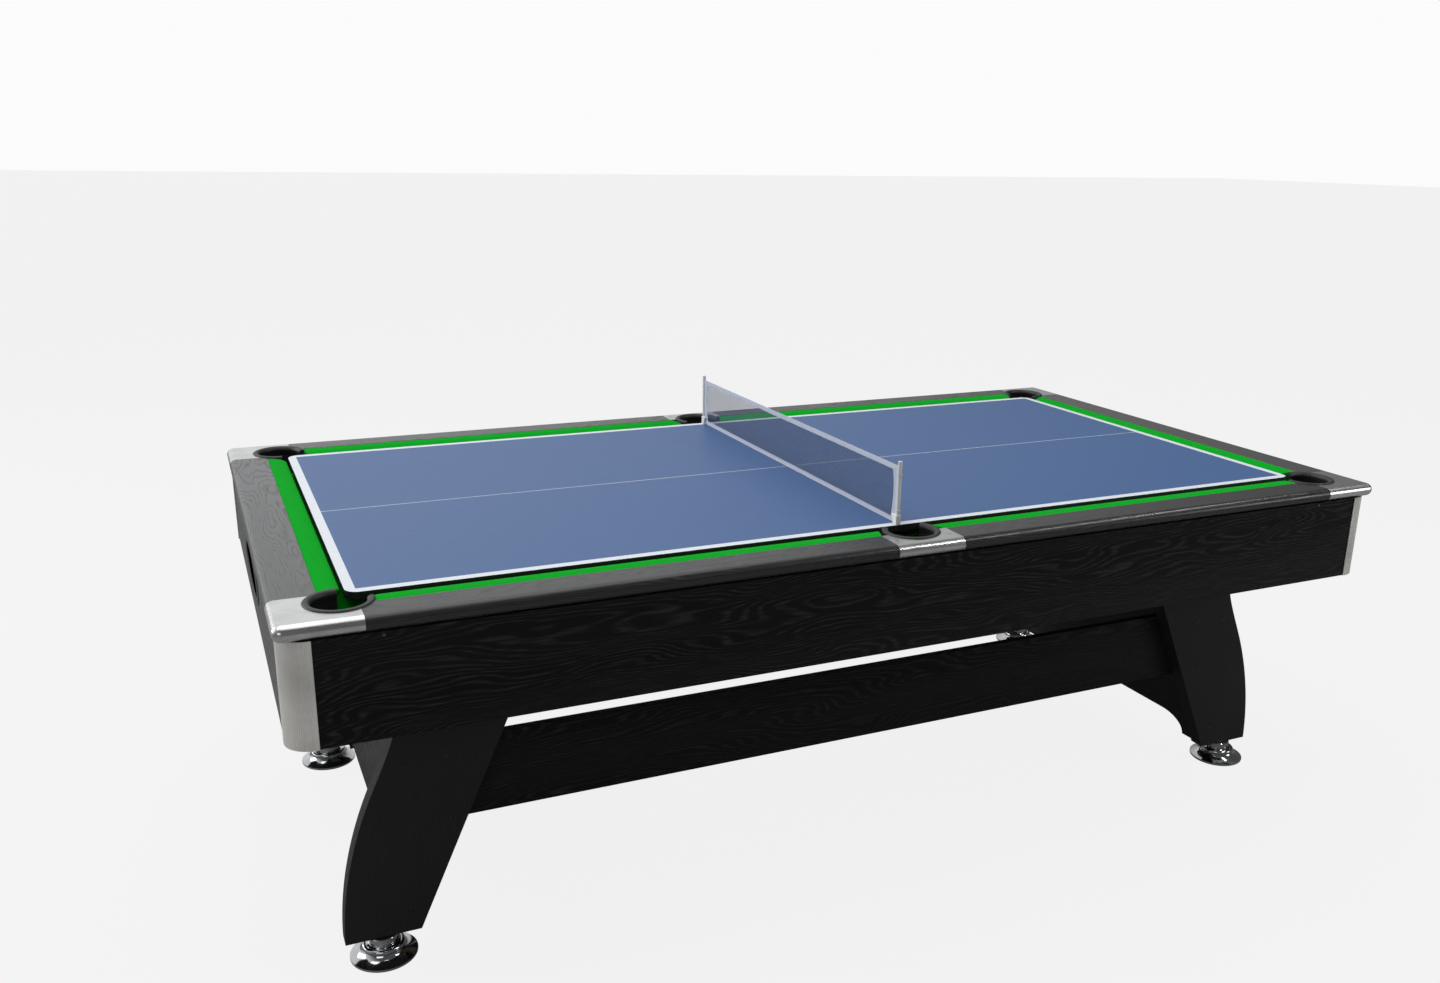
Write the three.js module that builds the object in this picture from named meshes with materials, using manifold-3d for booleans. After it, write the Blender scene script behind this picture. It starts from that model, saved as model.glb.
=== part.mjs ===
// A home pool table with a lift-off table-tennis top, in millimetres, +Z up.
// X runs along the table, Y across it. The origin is on the floor, under the middle.
import * as THREE from 'three';
import { mergeVertices } from 'three/addons/utils/BufferGeometryUtils.js';
import Module from 'manifold-3d';

const wasm = await Module();
wasm.setup();

// Driving sizes
const tableLength = 2514;
const tableWidth = 1350;
const tableHeight = 800;
const gap = 0.3;

// Rails and cushions
const railThickness = 30;
const railWidthSide = 77;
const railWidthEnd = 87;
const cushionWidthSide = 48;
const cushionWidthEnd = 42;
const cushionHeight = 44;
const cushionNoseDrop = 8;
const cushionNoseThickness = 6;
const cushionFootWidth = 17;
const cornerSlant = 22;
const cornerReachSide = 47;
const cornerReachEnd = 54.75;
const sideSlant = 18;
const sideReach = 75;

// Cabinet
const apronThickness = 18;
const apronHeight = 197;
const apronInsetSide = 5;
const apronInsetEnd = 8;
const cornerRadius = 50;
const trimThickness = 2;
const trimLap = 4;
const cornerPostDepth = 35;
const cornerPostWidth = 43;

// Bed
const clothThickness = 1.2;
const bedThickness = 18;
const beamWidth = 86;
const beamHeight = 39;
const beamInset = 211;

// Pockets
const pocketRadius = 52;
const linerWall = 3.5;
const linerRimLap = 5.5;
const linerRimHeight = 3;
const linerRimEase = 2.5;
const linerLip = 5;
const linerLipSlope = 6;
const linerRimDepth = 14;
const linerDrop = 98;
const linerClearance = 1;
const cornerPocketFromEnd = 36.5;
const cornerPocketFromSide = 20.5;
const sidePocketFromSide = 8.5;
const cornerMouthHalfAngle = THREE.MathUtils.degToRad(42);
const cornerMouthDirection = THREE.MathUtils.degToRad(225);
const sideMouthDirection = THREE.MathUtils.degToRad(270);

// Pocket caps
const cornerCapLengthEnd = 141;
const cornerCapLengthSide = 148;
const cornerCapRadius = 17;
const sideCapWidth = 156;
const capPlate = 4;

// Ball return
const returnHalfWidth = 150;
const returnHalfHeight = 44;
const returnDrop = 112;
const bezelRimSide = 20;
const bezelRimTop = 14;
const bezelWall = 3;
const bezelProud = 2.5;
const gutterWidth = 104;
const gutterHeight = 32;
const gutterWall = 3;
const gutterFall = 34.3;
const trayDepth = 156;
const trayFloor = 5;
const trayWall = 4;
const trayHeight = 30;

// Legs
const legFrontInset = 208;
const legOuterInset = 89.5;
const legThickness = 38;
const legFootWidth = 147.5;
const legBottom = 48;
const legLean = 0.4474;
const legWaistInset = 131.5;
const legShoulderInset = 68.5;
const legShoulderHeight = 360;
const legShoulderSwing = 81;
const legLowerSwing = 97;
const endPanelInset = 212;
const endPanelThickness = 16;
const endPanelArch = 42;
const endPanelFootWidth = 44.7;
const endPanelArchRun = 84;
const stretcherHeight = 171;
const stretcherThickness = 18;
const stretcherBottom = 259;

// Levelling feet
const footRadius = 66;
const footEdge = 7;
const footShoulderRadius = 51;
const footStepRadius = 38;
const footCollarRadius = 30;
const footStemRadius = 6;
const footStemLength = 50;
const footStemClearance = 0.5;
const footBoreSpare = 5;

// Table-tennis top and net
const topClearanceEnd = 5.5;
const topClearanceSide = 12.5;
const topThickness = 15;
const topSink = 2;
const topCornerRadius = 25;
const battenWidth = 60;
const battenInset = 120;
const netHeight = 125;
const netThickness = 1.6;
const postRadius = 4.7;
const postHeight = 136.7;
const postInset = 1;
const postFootWidth = 12;
const postFootDepth = 22;
const postFootHeight = 20;
const postFootTaper = 8;
const pegRadius = 3.5;
const pegLength = 12;
const pegInset = 10;
const pegClearance = 0.3;

// Worked out from the sizes above
const halfLength = tableLength / 2;
const halfWidth = tableWidth / 2;
const railBottom = tableHeight - railThickness;
const noseRadius = railThickness / 2;
const jointX = halfLength - railWidthEnd;
const jointY = halfWidth - railWidthSide;
const clothTop = tableHeight - cushionHeight;
const bedTop = clothTop - clothThickness - gap;
const bedBottom = bedTop - bedThickness;
const apronFaceX = halfLength - apronInsetEnd;
const apronFaceY = halfWidth - apronInsetSide;
const apronInnerX = apronFaceX - apronThickness;
const apronInnerY = apronFaceY - apronThickness;
const apronTop = railBottom - gap;
const apronBottom = apronTop - apronHeight;
const linerWallRadius = pocketRadius + linerWall;
const linerRimRadius = linerWallRadius + linerRimLap;
const pocketX = apronInnerX - linerWallRadius - cornerPocketFromEnd;
const pocketY = apronInnerY - linerWallRadius - cornerPocketFromSide;
const sidePocketY = apronInnerY - linerWallRadius - sidePocketFromSide;
const linerBottom = tableHeight - linerDrop;
const beamTop = bedBottom - gap;
const beamBottom = beamTop - beamHeight;
const beamX = halfLength - beamInset - beamWidth;
const legTop = beamBottom - gap;
const legOuterX = halfLength - legOuterInset;
const legFrontY = halfWidth - legFrontInset;
const legBackY = legFrontY - legThickness;
const endPanelX = halfLength - endPanelInset;
const topSurface = tableHeight - topSink;
const topUnderside = topSurface - topThickness;
const sideNoseY = jointY - cushionWidthSide;
const endNoseX = jointX - cushionWidthEnd;
const topEndX = endNoseX - topClearanceEnd;
const topEdgeY = sideNoseY - topClearanceSide;

// Geometry helpers

function outline(points) {
  return new THREE.Shape(points.map(([x, y]) => new THREE.Vector2(x, y)));
}

// A solid whose outline lies in the XY plane, from z0 up to z1.
function upright(shape, z0, z1, curveSegments = 12) {
  const options = { depth: z1 - z0, bevelEnabled: false, curveSegments };
  return new THREE.ExtrudeGeometry(shape, options).translate(0, 0, z0);
}

// A solid whose outline is drawn in (y, z) and runs along X.
function alongX(shape, x0, x1, curveSegments = 12) {
  const turn = new THREE.Matrix4().makeBasis(
    new THREE.Vector3(0, 1, 0),
    new THREE.Vector3(0, 0, 1),
    new THREE.Vector3(1, 0, 0),
  );
  return upright(shape, x0, x1, curveSegments).applyMatrix4(turn);
}

// A solid whose outline is drawn in (x, z) and runs along Y.
function alongY(shape, y0, y1, curveSegments = 12) {
  const turn = new THREE.Matrix4().makeRotationX(Math.PI / 2);
  return upright(shape, -y1, -y0, curveSegments).applyMatrix4(turn);
}

function block([x0, y0, z0], [x1, y1, z1]) {
  const box = new THREE.BoxGeometry(x1 - x0, y1 - y0, z1 - z0);
  return box.translate((x0 + x1) / 2, (y0 + y1) / 2, (z0 + z1) / 2);
}

function rod(x, y, radius, z0, z1, sides = 24) {
  const cylinder = new THREE.CylinderGeometry(radius, radius, z1 - z0, sides);
  return cylinder.rotateX(Math.PI / 2).translate(x, y, (z0 + z1) / 2);
}

function turned(points, sides) {
  const profile = points.map(([radius, z]) => new THREE.Vector2(radius, z));
  return new THREE.LatheGeometry(profile, sides).rotateX(Math.PI / 2);
}

// Boolean helpers

function toSolid(geometry) {
  const bare = geometry.clone();
  bare.deleteAttribute('normal');
  bare.deleteAttribute('uv');
  const merged = mergeVertices(bare, 1e-4);
  const vertProperties = new Float32Array(merged.attributes.position.array);
  const triVerts = new Uint32Array(merged.index.array);
  return new wasm.Manifold(new wasm.Mesh({ numProp: 3, vertProperties, triVerts }));
}

function toGeometry(solid) {
  const mesh = solid.getMesh();
  const geometry = new THREE.BufferGeometry();
  geometry.setAttribute('position', new THREE.BufferAttribute(mesh.vertProperties, 3));
  geometry.setIndex(new THREE.BufferAttribute(mesh.triVerts, 1));
  return geometry;
}

function cut(geometry, ...tools) {
  const left = tools.reduce((solid, tool) => solid.subtract(toSolid(tool)), toSolid(geometry));
  return toGeometry(left);
}

function keep(geometry, tool) {
  return toGeometry(toSolid(geometry).intersect(toSolid(tool)));
}

function join(...pieces) {
  return toGeometry(pieces.map(toSolid).reduce((whole, piece) => whole.add(piece)));
}

// The same piece on another side of the table: sx and sy are 1 or -1.
function reflected(geometry, sx, sy) {
  const copy = mergeVertices(geometry.clone().deleteAttribute('uv').deleteAttribute('normal'));
  copy.scale(sx, sy, 1);
  if (sx * sy < 0) {
    const index = copy.index.array;
    for (let i = 0; i < index.length; i += 3) {
      [index[i], index[i + 1]] = [index[i + 1], index[i]];
    }
  }
  return copy;
}

// Materials

function finish(color, roughness, metalness) {
  return { color, roughness, metalness };
}

const finishes = {
  laminate: finish(0x1b1b1c, 0.45, 0),
  railTop: finish(0x4a4a4c, 0.4, 0),
  greenCloth: finish(0x0aa52c, 0.95, 0),
  chrome: finish(0xcfd1d3, 0.2, 1),
  trim: finish(0xc9cac8, 0.4, 0.6),
  rubber: finish(0x141414, 0.6, 0),
  board: finish(0x8a7357, 0.8, 0),
  channel: finish(0x232323, 0.5, 0),
  playingTop: finish(0x4f6ea3, 0.6, 0),
  netting: finish(0xe8ebee, 0.9, 0),
  whitePlastic: finish(0xf2f2f0, 0.4, 0),
};

function piece(parent, name, geometry, look) {
  const mesh = new THREE.Mesh(geometry, new THREE.MeshStandardMaterial(finishes[look]));
  mesh.name = name;
  parent.add(mesh);
  return mesh;
}

function section(parent) {
  const group = new THREE.Group();
  parent.add(group);
  return group;
}

const ends = [['left', -1], ['right', 1]];
const sides = [['front', -1], ['rear', 1]];
const corners = ends.flatMap(([end, sx]) => sides.map(([side, sy]) => [`${side}_${end}`, sx, sy]));

const table = new THREE.Group();

// The pockets' round bores, through every layer that surrounds them

const boreSides = 36;

function cornerBore(radius) {
  return rod(pocketX, pocketY, radius, apronBottom, tableHeight + railThickness, boreSides);
}

function sideBore(radius) {
  return rod(0, sidePocketY, radius, apronBottom, tableHeight + railThickness, boreSides);
}

// Cabinet: four aprons, the end ones with corner posts, and four corner trims

const trimOuter = trimThickness + gap;
const arcX = apronFaceX - cornerRadius;
const arcY = apronFaceY - cornerRadius;
const apronEndX = arcX + gap;
const apronEndY = arcY + gap;

function sideApron() {
  return block([-apronEndX, apronInnerY, apronBottom], [apronEndX, apronFaceY, apronTop]);
}

const cornerPostX = apronInnerX - cornerPostDepth;
const cornerPostY = apronInnerY - gap - cornerPostWidth;

function endApron() {
  const postOuterY = apronInnerY - gap;
  const half = [
    [apronFaceX, apronEndY],
    [apronInnerX, apronEndY],
    [apronInnerX, postOuterY],
    [cornerPostX, postOuterY],
    [cornerPostX, cornerPostY],
    [apronInnerX, cornerPostY],
  ];
  const otherHalf = half.map(([x, y]) => [x, -y]).reverse();
  const board = upright(outline([...half, ...otherHalf]), apronBottom, apronTop);
  const bore = cornerBore(linerWallRadius + linerClearance);
  return cut(board, bore, reflected(bore, 1, -1));
}

function ellipse(halfY, halfZ, z) {
  const shape = new THREE.Shape();
  shape.absellipse(0, z, halfY, halfZ, 0, 2 * Math.PI, false, 0);
  return shape;
}

const returnZ = tableHeight - returnDrop;
const returnCurveSegments = 10;

function returnCut(grow) {
  const shape = ellipse(returnHalfWidth + grow, returnHalfHeight + grow, returnZ);
  return alongX(shape, -halfLength, -apronInnerX + apronThickness, returnCurveSegments);
}

function cornerTrim() {
  const path = new THREE.Shape();
  const faceX = apronFaceX + trimOuter;
  const faceY = apronFaceY + trimOuter;
  const outerRadius = cornerRadius;
  const innerRadius = outerRadius - trimThickness;
  const cx = faceX - outerRadius;
  const cy = faceY - outerRadius;
  path.moveTo(cx - trimLap, faceY - trimThickness);
  path.lineTo(cx, faceY - trimThickness);
  path.absarc(cx, cy, innerRadius, Math.PI / 2, 0, true);
  path.lineTo(faceX - trimThickness, cy - trimLap);
  path.lineTo(faceX, cy - trimLap);
  path.lineTo(faceX, cy);
  path.absarc(cx, cy, outerRadius, 0, Math.PI / 2, false);
  path.lineTo(cx - trimLap, faceY);
  path.closePath();
  return upright(path, apronBottom, apronTop, 10);
}

const cabinet = section(table);
for (const [side, sy] of sides) {
  piece(cabinet, `apron_${side}`, reflected(sideApron(), 1, sy), 'laminate');
}
piece(cabinet, 'apron_right_end', endApron(), 'laminate');
const openedApron = cut(reflected(endApron(), -1, 1), returnCut(bezelWall + gap));
piece(cabinet, 'apron_left_end', openedApron, 'laminate');
for (const [name, sx, sy] of corners) {
  piece(cabinet, `corner_trim_${name}`, reflected(cornerTrim(), sx, sy), 'trim');
}

// Bed: a board on two beams, with the cloth over it

const holeRadius = linerWallRadius + linerClearance;
const holeCentres = [[0, sidePocketY], [0, -sidePocketY]];
for (const [, sx, sy] of corners) {
  holeCentres.push([sx * pocketX, sy * pocketY]);
}

function bedOutline() {
  const edgeX = apronInnerX - gap;
  const edgeY = apronInnerY - gap;
  const notchX = cornerPostX - gap;
  const notchY = cornerPostY - 2 * gap;
  const quarter = [[edgeX, 0], [edgeX, notchY], [notchX, notchY], [notchX, edgeY], [0, edgeY]];
  const half = [...quarter, ...quarter.slice(0, -1).reverse().map(([x, y]) => [-x, y])];
  const shape = outline([...half, ...half.slice(1, -1).reverse().map(([x, y]) => [x, -y])]);
  for (const [x, y] of holeCentres) {
    shape.holes.push(new THREE.Path().absarc(x, y, holeRadius, 0, 2 * Math.PI, true));
  }
  return shape;
}

const bed = section(table);
piece(bed, 'playfield_bed', upright(bedOutline(), bedBottom, bedTop, 10), 'board');
piece(bed, 'bed_cloth', upright(bedOutline(), bedTop + gap, clothTop, 10), 'greenCloth');
for (const [end, sx] of ends) {
  const low = [beamX, -apronInnerY + gap, beamBottom];
  const high = [beamX + beamWidth, apronInnerY - gap, beamTop];
  piece(bed, `bed_beam_${end}`, reflected(block(low, high), sx, 1), 'board');
}

// Rails: a rolled nose outside, a straight joint inside, and a foot on the bed

// u is the distance in from the outside of the nose.
function railSection(width, inset) {
  const foot = inset + apronThickness + 2 * gap;
  const shape = new THREE.Shape();
  shape.moveTo(noseRadius, tableHeight);
  shape.absarc(noseRadius, railBottom + noseRadius, noseRadius, Math.PI / 2, 1.5 * Math.PI, false);
  shape.lineTo(foot, railBottom);
  shape.lineTo(foot, clothTop + gap);
  shape.lineTo(width, clothTop + gap);
  shape.lineTo(width, tableHeight);
  shape.closePath();
  return shape;
}

// The section above, turned so that its nose faces +Y or +X.
function sideRun(shape, x0, x1) {
  return alongX(shape, -x1, -x0, 4).rotateZ(Math.PI).translate(0, halfWidth, 0);
}

function endRun(shape, y0, y1) {
  return alongX(shape, y0, y1, 4).rotateZ(Math.PI / 2).translate(halfLength, 0, 0);
}

const sideCapHalf = sideCapWidth / 2;
const sideRailEnd = halfLength - cornerCapLengthSide - gap;
const endRailEnd = halfWidth - cornerCapLengthEnd - gap;
const rimClearance = linerRimRadius + gap;

function sideRail() {
  const rail = sideRun(railSection(railWidthSide, apronInsetSide), sideCapHalf + gap, sideRailEnd);
  return cut(rail, cornerBore(rimClearance));
}

function endRail() {
  const rail = endRun(railSection(railWidthEnd, apronInsetEnd), -endRailEnd, endRailEnd);
  const bore = cornerBore(rimClearance);
  return cut(rail, bore, reflected(bore, 1, -1));
}

const rails = section(table);
for (const [name, sx, sy] of corners) {
  piece(rails, `rail_${name}`, reflected(sideRail(), sx, sy), 'railTop');
}
for (const [end, sx] of ends) {
  piece(rails, `rail_${end}_end`, reflected(endRail(), sx, 1), 'railTop');
}

// Cushions: cloth-covered rubber, cut at a slant beside each pocket

function cushionSection(railWidth, width) {
  const start = railWidth + gap;
  const tip = railWidth + width;
  const noseTop = tableHeight - cushionNoseDrop;
  const foot = clothTop + gap;
  return outline([
    [start, tableHeight - gap],
    [start + width / 4, tableHeight - gap - 1],
    [tip - 2, noseTop + 2],
    [tip, noseTop],
    [tip, noseTop - cushionNoseThickness],
    [start + cushionFootWidth, foot],
    [start, foot],
  ].reverse());
}

function sideCushion() {
  const whole = cushionSection(railWidthSide, cushionWidthSide);
  const run = sideRun(whole, 0, pocketX);
  const tipY = sideNoseY - 1;
  const endX = pocketX - cornerReachSide;
  const plan = outline([
    [sideReach, jointY],
    [sideReach - sideSlant, tipY],
    [endX - cornerSlant, tipY],
    [endX, jointY],
  ]);
  const trimmed = keep(run, upright(plan, clothTop, tableHeight));
  return cut(trimmed, cornerBore(rimClearance), sideBore(rimClearance));
}

function endCushion() {
  const run = endRun(cushionSection(railWidthEnd, cushionWidthEnd), -pocketY, pocketY);
  const tipX = endNoseX - 1;
  const endY = pocketY - cornerReachEnd;
  const plan = outline([
    [jointX, -endY],
    [jointX, endY],
    [tipX, endY - cornerSlant],
    [tipX, -endY + cornerSlant],
  ]);
  const bore = cornerBore(rimClearance);
  return cut(keep(run, upright(plan, clothTop, tableHeight)), bore, reflected(bore, 1, -1));
}

const cushions = section(table);
for (const [name, sx, sy] of corners) {
  piece(cushions, `cushion_${name}`, reflected(sideCushion(), sx, sy), 'greenCloth');
}
for (const [end, sx] of ends) {
  piece(cushions, `cushion_${end}_end`, reflected(endCushion(), sx, 1), 'greenCloth');
}

// Pocket caps: hollow castings with the rails' nose, cut round for the liner

function cornerCap() {
  const reach = 3 * noseRadius;
  const x0 = halfLength - cornerCapLengthSide;
  const y0 = halfWidth - cornerCapLengthEnd;
  const plan = new THREE.Shape();
  plan.moveTo(x0 - reach, y0 - reach);
  plan.lineTo(halfLength, y0 - reach);
  plan.lineTo(halfLength, halfWidth - cornerCapRadius);
  const cx = halfLength - cornerCapRadius;
  const cy = halfWidth - cornerCapRadius;
  plan.absarc(cx, cy, cornerCapRadius, 0, Math.PI / 2, false);
  plan.lineTo(x0 - reach, halfWidth);
  plan.closePath();
  const roll = noseRadius - 0.2;
  const slab = new THREE.ExtrudeGeometry(plan, {
    depth: railThickness - 2 * roll,
    bevelThickness: roll,
    bevelSize: roll,
    bevelOffset: -roll,
    bevelSegments: 4,
    curveSegments: 5,
  }).translate(0, 0, railBottom + roll);
  const quarter = block([x0, y0, railBottom - 1], [halfLength + 1, halfWidth + 1, tableHeight + 1]);
  const inner = block(
    [x0 + capPlate, y0 + capPlate, railBottom - 1],
    [halfLength - noseRadius, halfWidth - noseRadius, tableHeight - capPlate],
  );
  return cut(keep(slab, quarter), inner, cornerBore(rimClearance));
}

function sideCap() {
  const nose = keep(
    sideRun(railSection(railWidthSide, apronInsetSide), -sideCapHalf, sideCapHalf),
    block([-halfLength, 0, railBottom], [halfLength, halfWidth + 1, tableHeight + 1]),
  );
  const inner = block(
    [-sideCapHalf + capPlate, jointY + capPlate, railBottom - 1],
    [sideCapHalf - capPlate, halfWidth - noseRadius, tableHeight - capPlate],
  );
  return cut(nose, inner, sideBore(rimClearance));
}

const caps = section(table);
for (const [name, sx, sy] of corners) {
  piece(caps, `corner_cap_${name}`, reflected(cornerCap(), sx, sy), 'chrome');
}
for (const [side, sy] of sides) {
  piece(caps, `side_cap_${side}`, reflected(sideCap(), 1, sy), 'chrome');
}

// Pocket liners: a thick rim with an inner lip, and a round wall, open towards the bed

// A side liner's lips end level with the cushions' noses.
const sideMouthHalfAngle = Math.acos((sidePocketY - sideNoseY) / linerRimRadius);

function liner(mouthHalfAngle, mouthDirection) {
  const rimTop = tableHeight + linerRimHeight;
  const lipRadius = pocketRadius - linerLip;
  const ring = turned([
    [pocketRadius, linerBottom],
    [linerWallRadius, linerBottom],
    [linerWallRadius, tableHeight - linerRimDepth],
    [linerRimRadius, tableHeight - linerRimDepth],
    [linerRimRadius, tableHeight],
    [linerRimRadius - linerRimEase, rimTop],
    [pocketRadius, rimTop],
    [lipRadius, tableHeight - linerLipSlope],
    [pocketRadius, tableHeight - linerRimDepth],
    [pocketRadius, linerBottom],
  ], 28);
  const reach = 3 * linerRimRadius;
  const at = (angle) => [reach * Math.cos(angle), reach * Math.sin(angle)];
  const fan = [-1, -0.5, 0.5, 1].map((share) => at(mouthDirection + share * mouthHalfAngle));
  const mouth = upright(outline([[0, 0], ...fan]), bedTop, rimTop + 1);
  return cut(ring, mouth);
}

const pockets = section(table);
for (const [name, sx, sy] of corners) {
  const lining = reflected(liner(cornerMouthHalfAngle, cornerMouthDirection), sx, sy);
  piece(pockets, `pocket_liner_${name}`, lining, 'rubber').position.set(sx * pocketX, sy * pocketY, 0);
}
for (const [side, sy] of sides) {
  const lining = reflected(liner(sideMouthHalfAngle, sideMouthDirection), 1, sy);
  piece(pockets, `pocket_liner_${side}_side`, lining, 'rubber').position.set(0, sy * sidePocketY, 0);
}

// Ball return: two sloping gutters, a tray and the bezel of its opening in the left end

function bezel() {
  const outerX = -apronFaceX - gap;
  const flange = ellipse(returnHalfWidth + bezelRimSide, returnHalfHeight + bezelRimTop, returnZ);
  const plate = alongX(flange, outerX - bezelProud, outerX, returnCurveSegments);
  const sleeveShape = ellipse(returnHalfWidth + bezelWall, returnHalfHeight + bezelWall, returnZ);
  const sleeve = alongX(sleeveShape, outerX - 1, -apronInnerX, returnCurveSegments);
  return cut(join(plate, sleeve), returnCut(0));
}

const gutterEndX = -apronInnerX + trayDepth + gap;
const gutterLength = pocketX + linerWallRadius - gutterEndX;
const gutterSlope = Math.atan(gutterFall / gutterLength);
const gutterHighEnd = Math.min(beamBottom, linerBottom) - gap - gutterHeight;
const gutterLowEnd = gutterHighEnd - gutterFall;
const trayBottom = gutterLowEnd - 2 * gap - trayHeight;

function gutter() {
  const w = gutterWidth / 2;
  const channel = outline([
    [-w, 0],
    [w, 0],
    [w, gutterHeight],
    [w - gutterWall, gutterHeight],
    [w - gutterWall, gutterWall],
    [-w + gutterWall, gutterWall],
    [-w + gutterWall, gutterHeight],
    [-w, gutterHeight],
  ]);
  return alongX(channel, 0, gutterLength);
}

function tray() {
  const x0 = -apronInnerX + gap;
  const x1 = x0 + trayDepth - gap;
  const neckX = -cornerPostX + gap;
  const neckY = cornerPostY - gap;
  const wideY = sidePocketY + gutterWidth / 2;
  const plan = (inset) => {
    const half = [
      [x0 + inset, neckY - inset],
      [neckX + inset, neckY - inset],
      [neckX + inset, wideY - inset],
      [x1 - inset, wideY - inset],
    ];
    return outline([...half, ...half.map(([x, y]) => [x, -y]).reverse()].reverse());
  };
  const whole = upright(plan(0), trayBottom, trayBottom + trayHeight);
  return cut(whole, upright(plan(trayWall), trayBottom + trayFloor, trayBottom + trayHeight + 1));
}

const ballReturn = section(table);
piece(ballReturn, 'ball_return_bezel', bezel(), 'rubber');
piece(ballReturn, 'ball_tray', tray(), 'channel');
for (const [side, sy] of sides) {
  const channel = piece(ballReturn, `ball_gutter_${side}`, gutter(), 'channel');
  channel.position.set(gutterEndX, sy * sidePocketY, gutterLowEnd);
  channel.rotation.y = -gutterSlope;
}

// Leg frames: curved panels front and rear, an arched end panel, and two long stretchers

function legPanel() {
  const innerFoot = legOuterX - legFootWidth;
  const shoulderX = legOuterX - legShoulderInset;
  const waistX = legOuterX - legWaistInset;
  const lowerThird = (legShoulderHeight - legBottom) / 3;
  const shape = new THREE.Shape();
  shape.moveTo(innerFoot, legBottom);
  shape.lineTo(legOuterX, legBottom);
  shape.bezierCurveTo(
    legOuterX, legBottom + lowerThird,
    shoulderX + legLean * legLowerSwing, legShoulderHeight - legLowerSwing,
    shoulderX, legShoulderHeight,
  );
  shape.bezierCurveTo(
    shoulderX - legLean * legShoulderSwing, legShoulderHeight + legShoulderSwing,
    waistX, apronBottom - legShoulderSwing,
    waistX, apronBottom,
  );
  shape.lineTo(waistX, legTop);
  shape.lineTo(innerFoot - legLean * (legTop - legBottom), legTop);
  shape.closePath();
  const panel = alongY(shape, legBackY, legFrontY, 8);
  const boreRadius = footStemRadius + footStemClearance;
  const boreTop = footCollarTop + footStemLength + footBoreSpare;
  return cut(panel, rod(footX, footY, boreRadius, 0, boreTop, 16));
}

function endPanel() {
  const reachY = legBackY - gap;
  const archY = reachY - endPanelFootWidth;
  const archTop = legBottom + endPanelArch;
  const shape = new THREE.Shape();
  shape.moveTo(-reachY, legBottom);
  shape.lineTo(-archY, legBottom);
  const centre = archY - endPanelArchRun;
  shape.absellipse(-centre, legBottom, endPanelArchRun, endPanelArch, Math.PI, Math.PI / 2, true, 0);
  shape.lineTo(centre, archTop);
  shape.absellipse(centre, legBottom, endPanelArchRun, endPanelArch, Math.PI / 2, 0, true, 0);
  shape.lineTo(reachY, legBottom);
  shape.lineTo(reachY, legTop);
  shape.lineTo(-reachY, legTop);
  shape.closePath();
  return alongX(shape, endPanelX - endPanelThickness, endPanelX, 6);
}

function stretcher() {
  const reachX = endPanelX - endPanelThickness - gap;
  const backY = legBackY - gap - stretcherThickness;
  const top = stretcherBottom + stretcherHeight;
  return block([-reachX, backY, stretcherBottom], [reachX, legBackY - gap, top]);
}

const footX = legOuterX - legFootWidth / 2;
const footY = legFrontY - legThickness / 2;
const footCollarTop = legBottom - gap;

// Levelling foot: a flared disc, a stepped collar and a stem that screws into the leg
function foot() {
  const stepTop = footCollarTop * 2 / 3;
  const shoulderTop = footCollarTop / 3;
  return turned([
    [0, 0],
    [footRadius - footEdge / 2, 0],
    [footRadius, footEdge / 2],
    [footRadius, footEdge],
    [footShoulderRadius, shoulderTop],
    [footStepRadius, stepTop - footEdge],
    [footStepRadius, stepTop],
    [footCollarRadius, stepTop],
    [footCollarRadius, footCollarTop],
    [footStemRadius, footCollarTop],
    [footStemRadius, footCollarTop + footStemLength],
    [0, footCollarTop + footStemLength],
  ], 20);
}

const legs = section(table);
for (const [name, sx, sy] of corners) {
  piece(legs, `leg_panel_${name}`, reflected(legPanel(), sx, sy), 'laminate');
  piece(legs, `levelling_foot_${name}`, foot(), 'chrome').position.set(sx * footX, sy * footY, 0);
}
for (const [end, sx] of ends) {
  piece(legs, `leg_end_panel_${end}`, reflected(endPanel(), sx, 1), 'laminate');
}
for (const [side, sy] of sides) {
  piece(legs, `stretcher_${side}`, reflected(stretcher(), 1, sy), 'laminate');
}

// Table-tennis top: two halves on two long battens, laid inside the cushions

const pegY = topEdgeY - pegInset;

function topHalf() {
  const cx = topEndX - topCornerRadius;
  const cy = topEdgeY - topCornerRadius;
  const shape = new THREE.Shape();
  shape.moveTo(gap, topEdgeY);
  shape.lineTo(gap, -topEdgeY);
  shape.lineTo(cx, -topEdgeY);
  shape.absarc(cx, -cy, topCornerRadius, -Math.PI / 2, 0, false);
  shape.lineTo(topEndX, cy);
  shape.absarc(cx, cy, topCornerRadius, 0, Math.PI / 2, false);
  shape.closePath();
  const hole = rod(0, pegY, pegRadius + pegClearance, topUnderside - 1, topSurface + 1, 16);
  return cut(upright(shape, topUnderside, topSurface, 6), hole, reflected(hole, 1, -1));
}

function batten() {
  const x1 = topEndX - battenInset;
  const y1 = topEdgeY - battenInset;
  return block([-x1, y1 - battenWidth, clothTop + gap], [x1, y1, topUnderside - gap]);
}

const tennisTop = section(table);
for (const [end, sx] of ends) {
  piece(tennisTop, `tennis_top_${end}`, reflected(topHalf(), sx, 1), 'playingTop');
}
for (const [side, sy] of sides) {
  piece(tennisTop, `top_batten_${side}`, reflected(batten(), 1, sy), 'board');
}

// Net: two posts, each with a peg in a hole at the halves' seam, and the net between them

const postOuterY = topEdgeY - postInset;
const postY = postOuterY - postRadius;
const postFootInner = postOuterY - postFootDepth;

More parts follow.
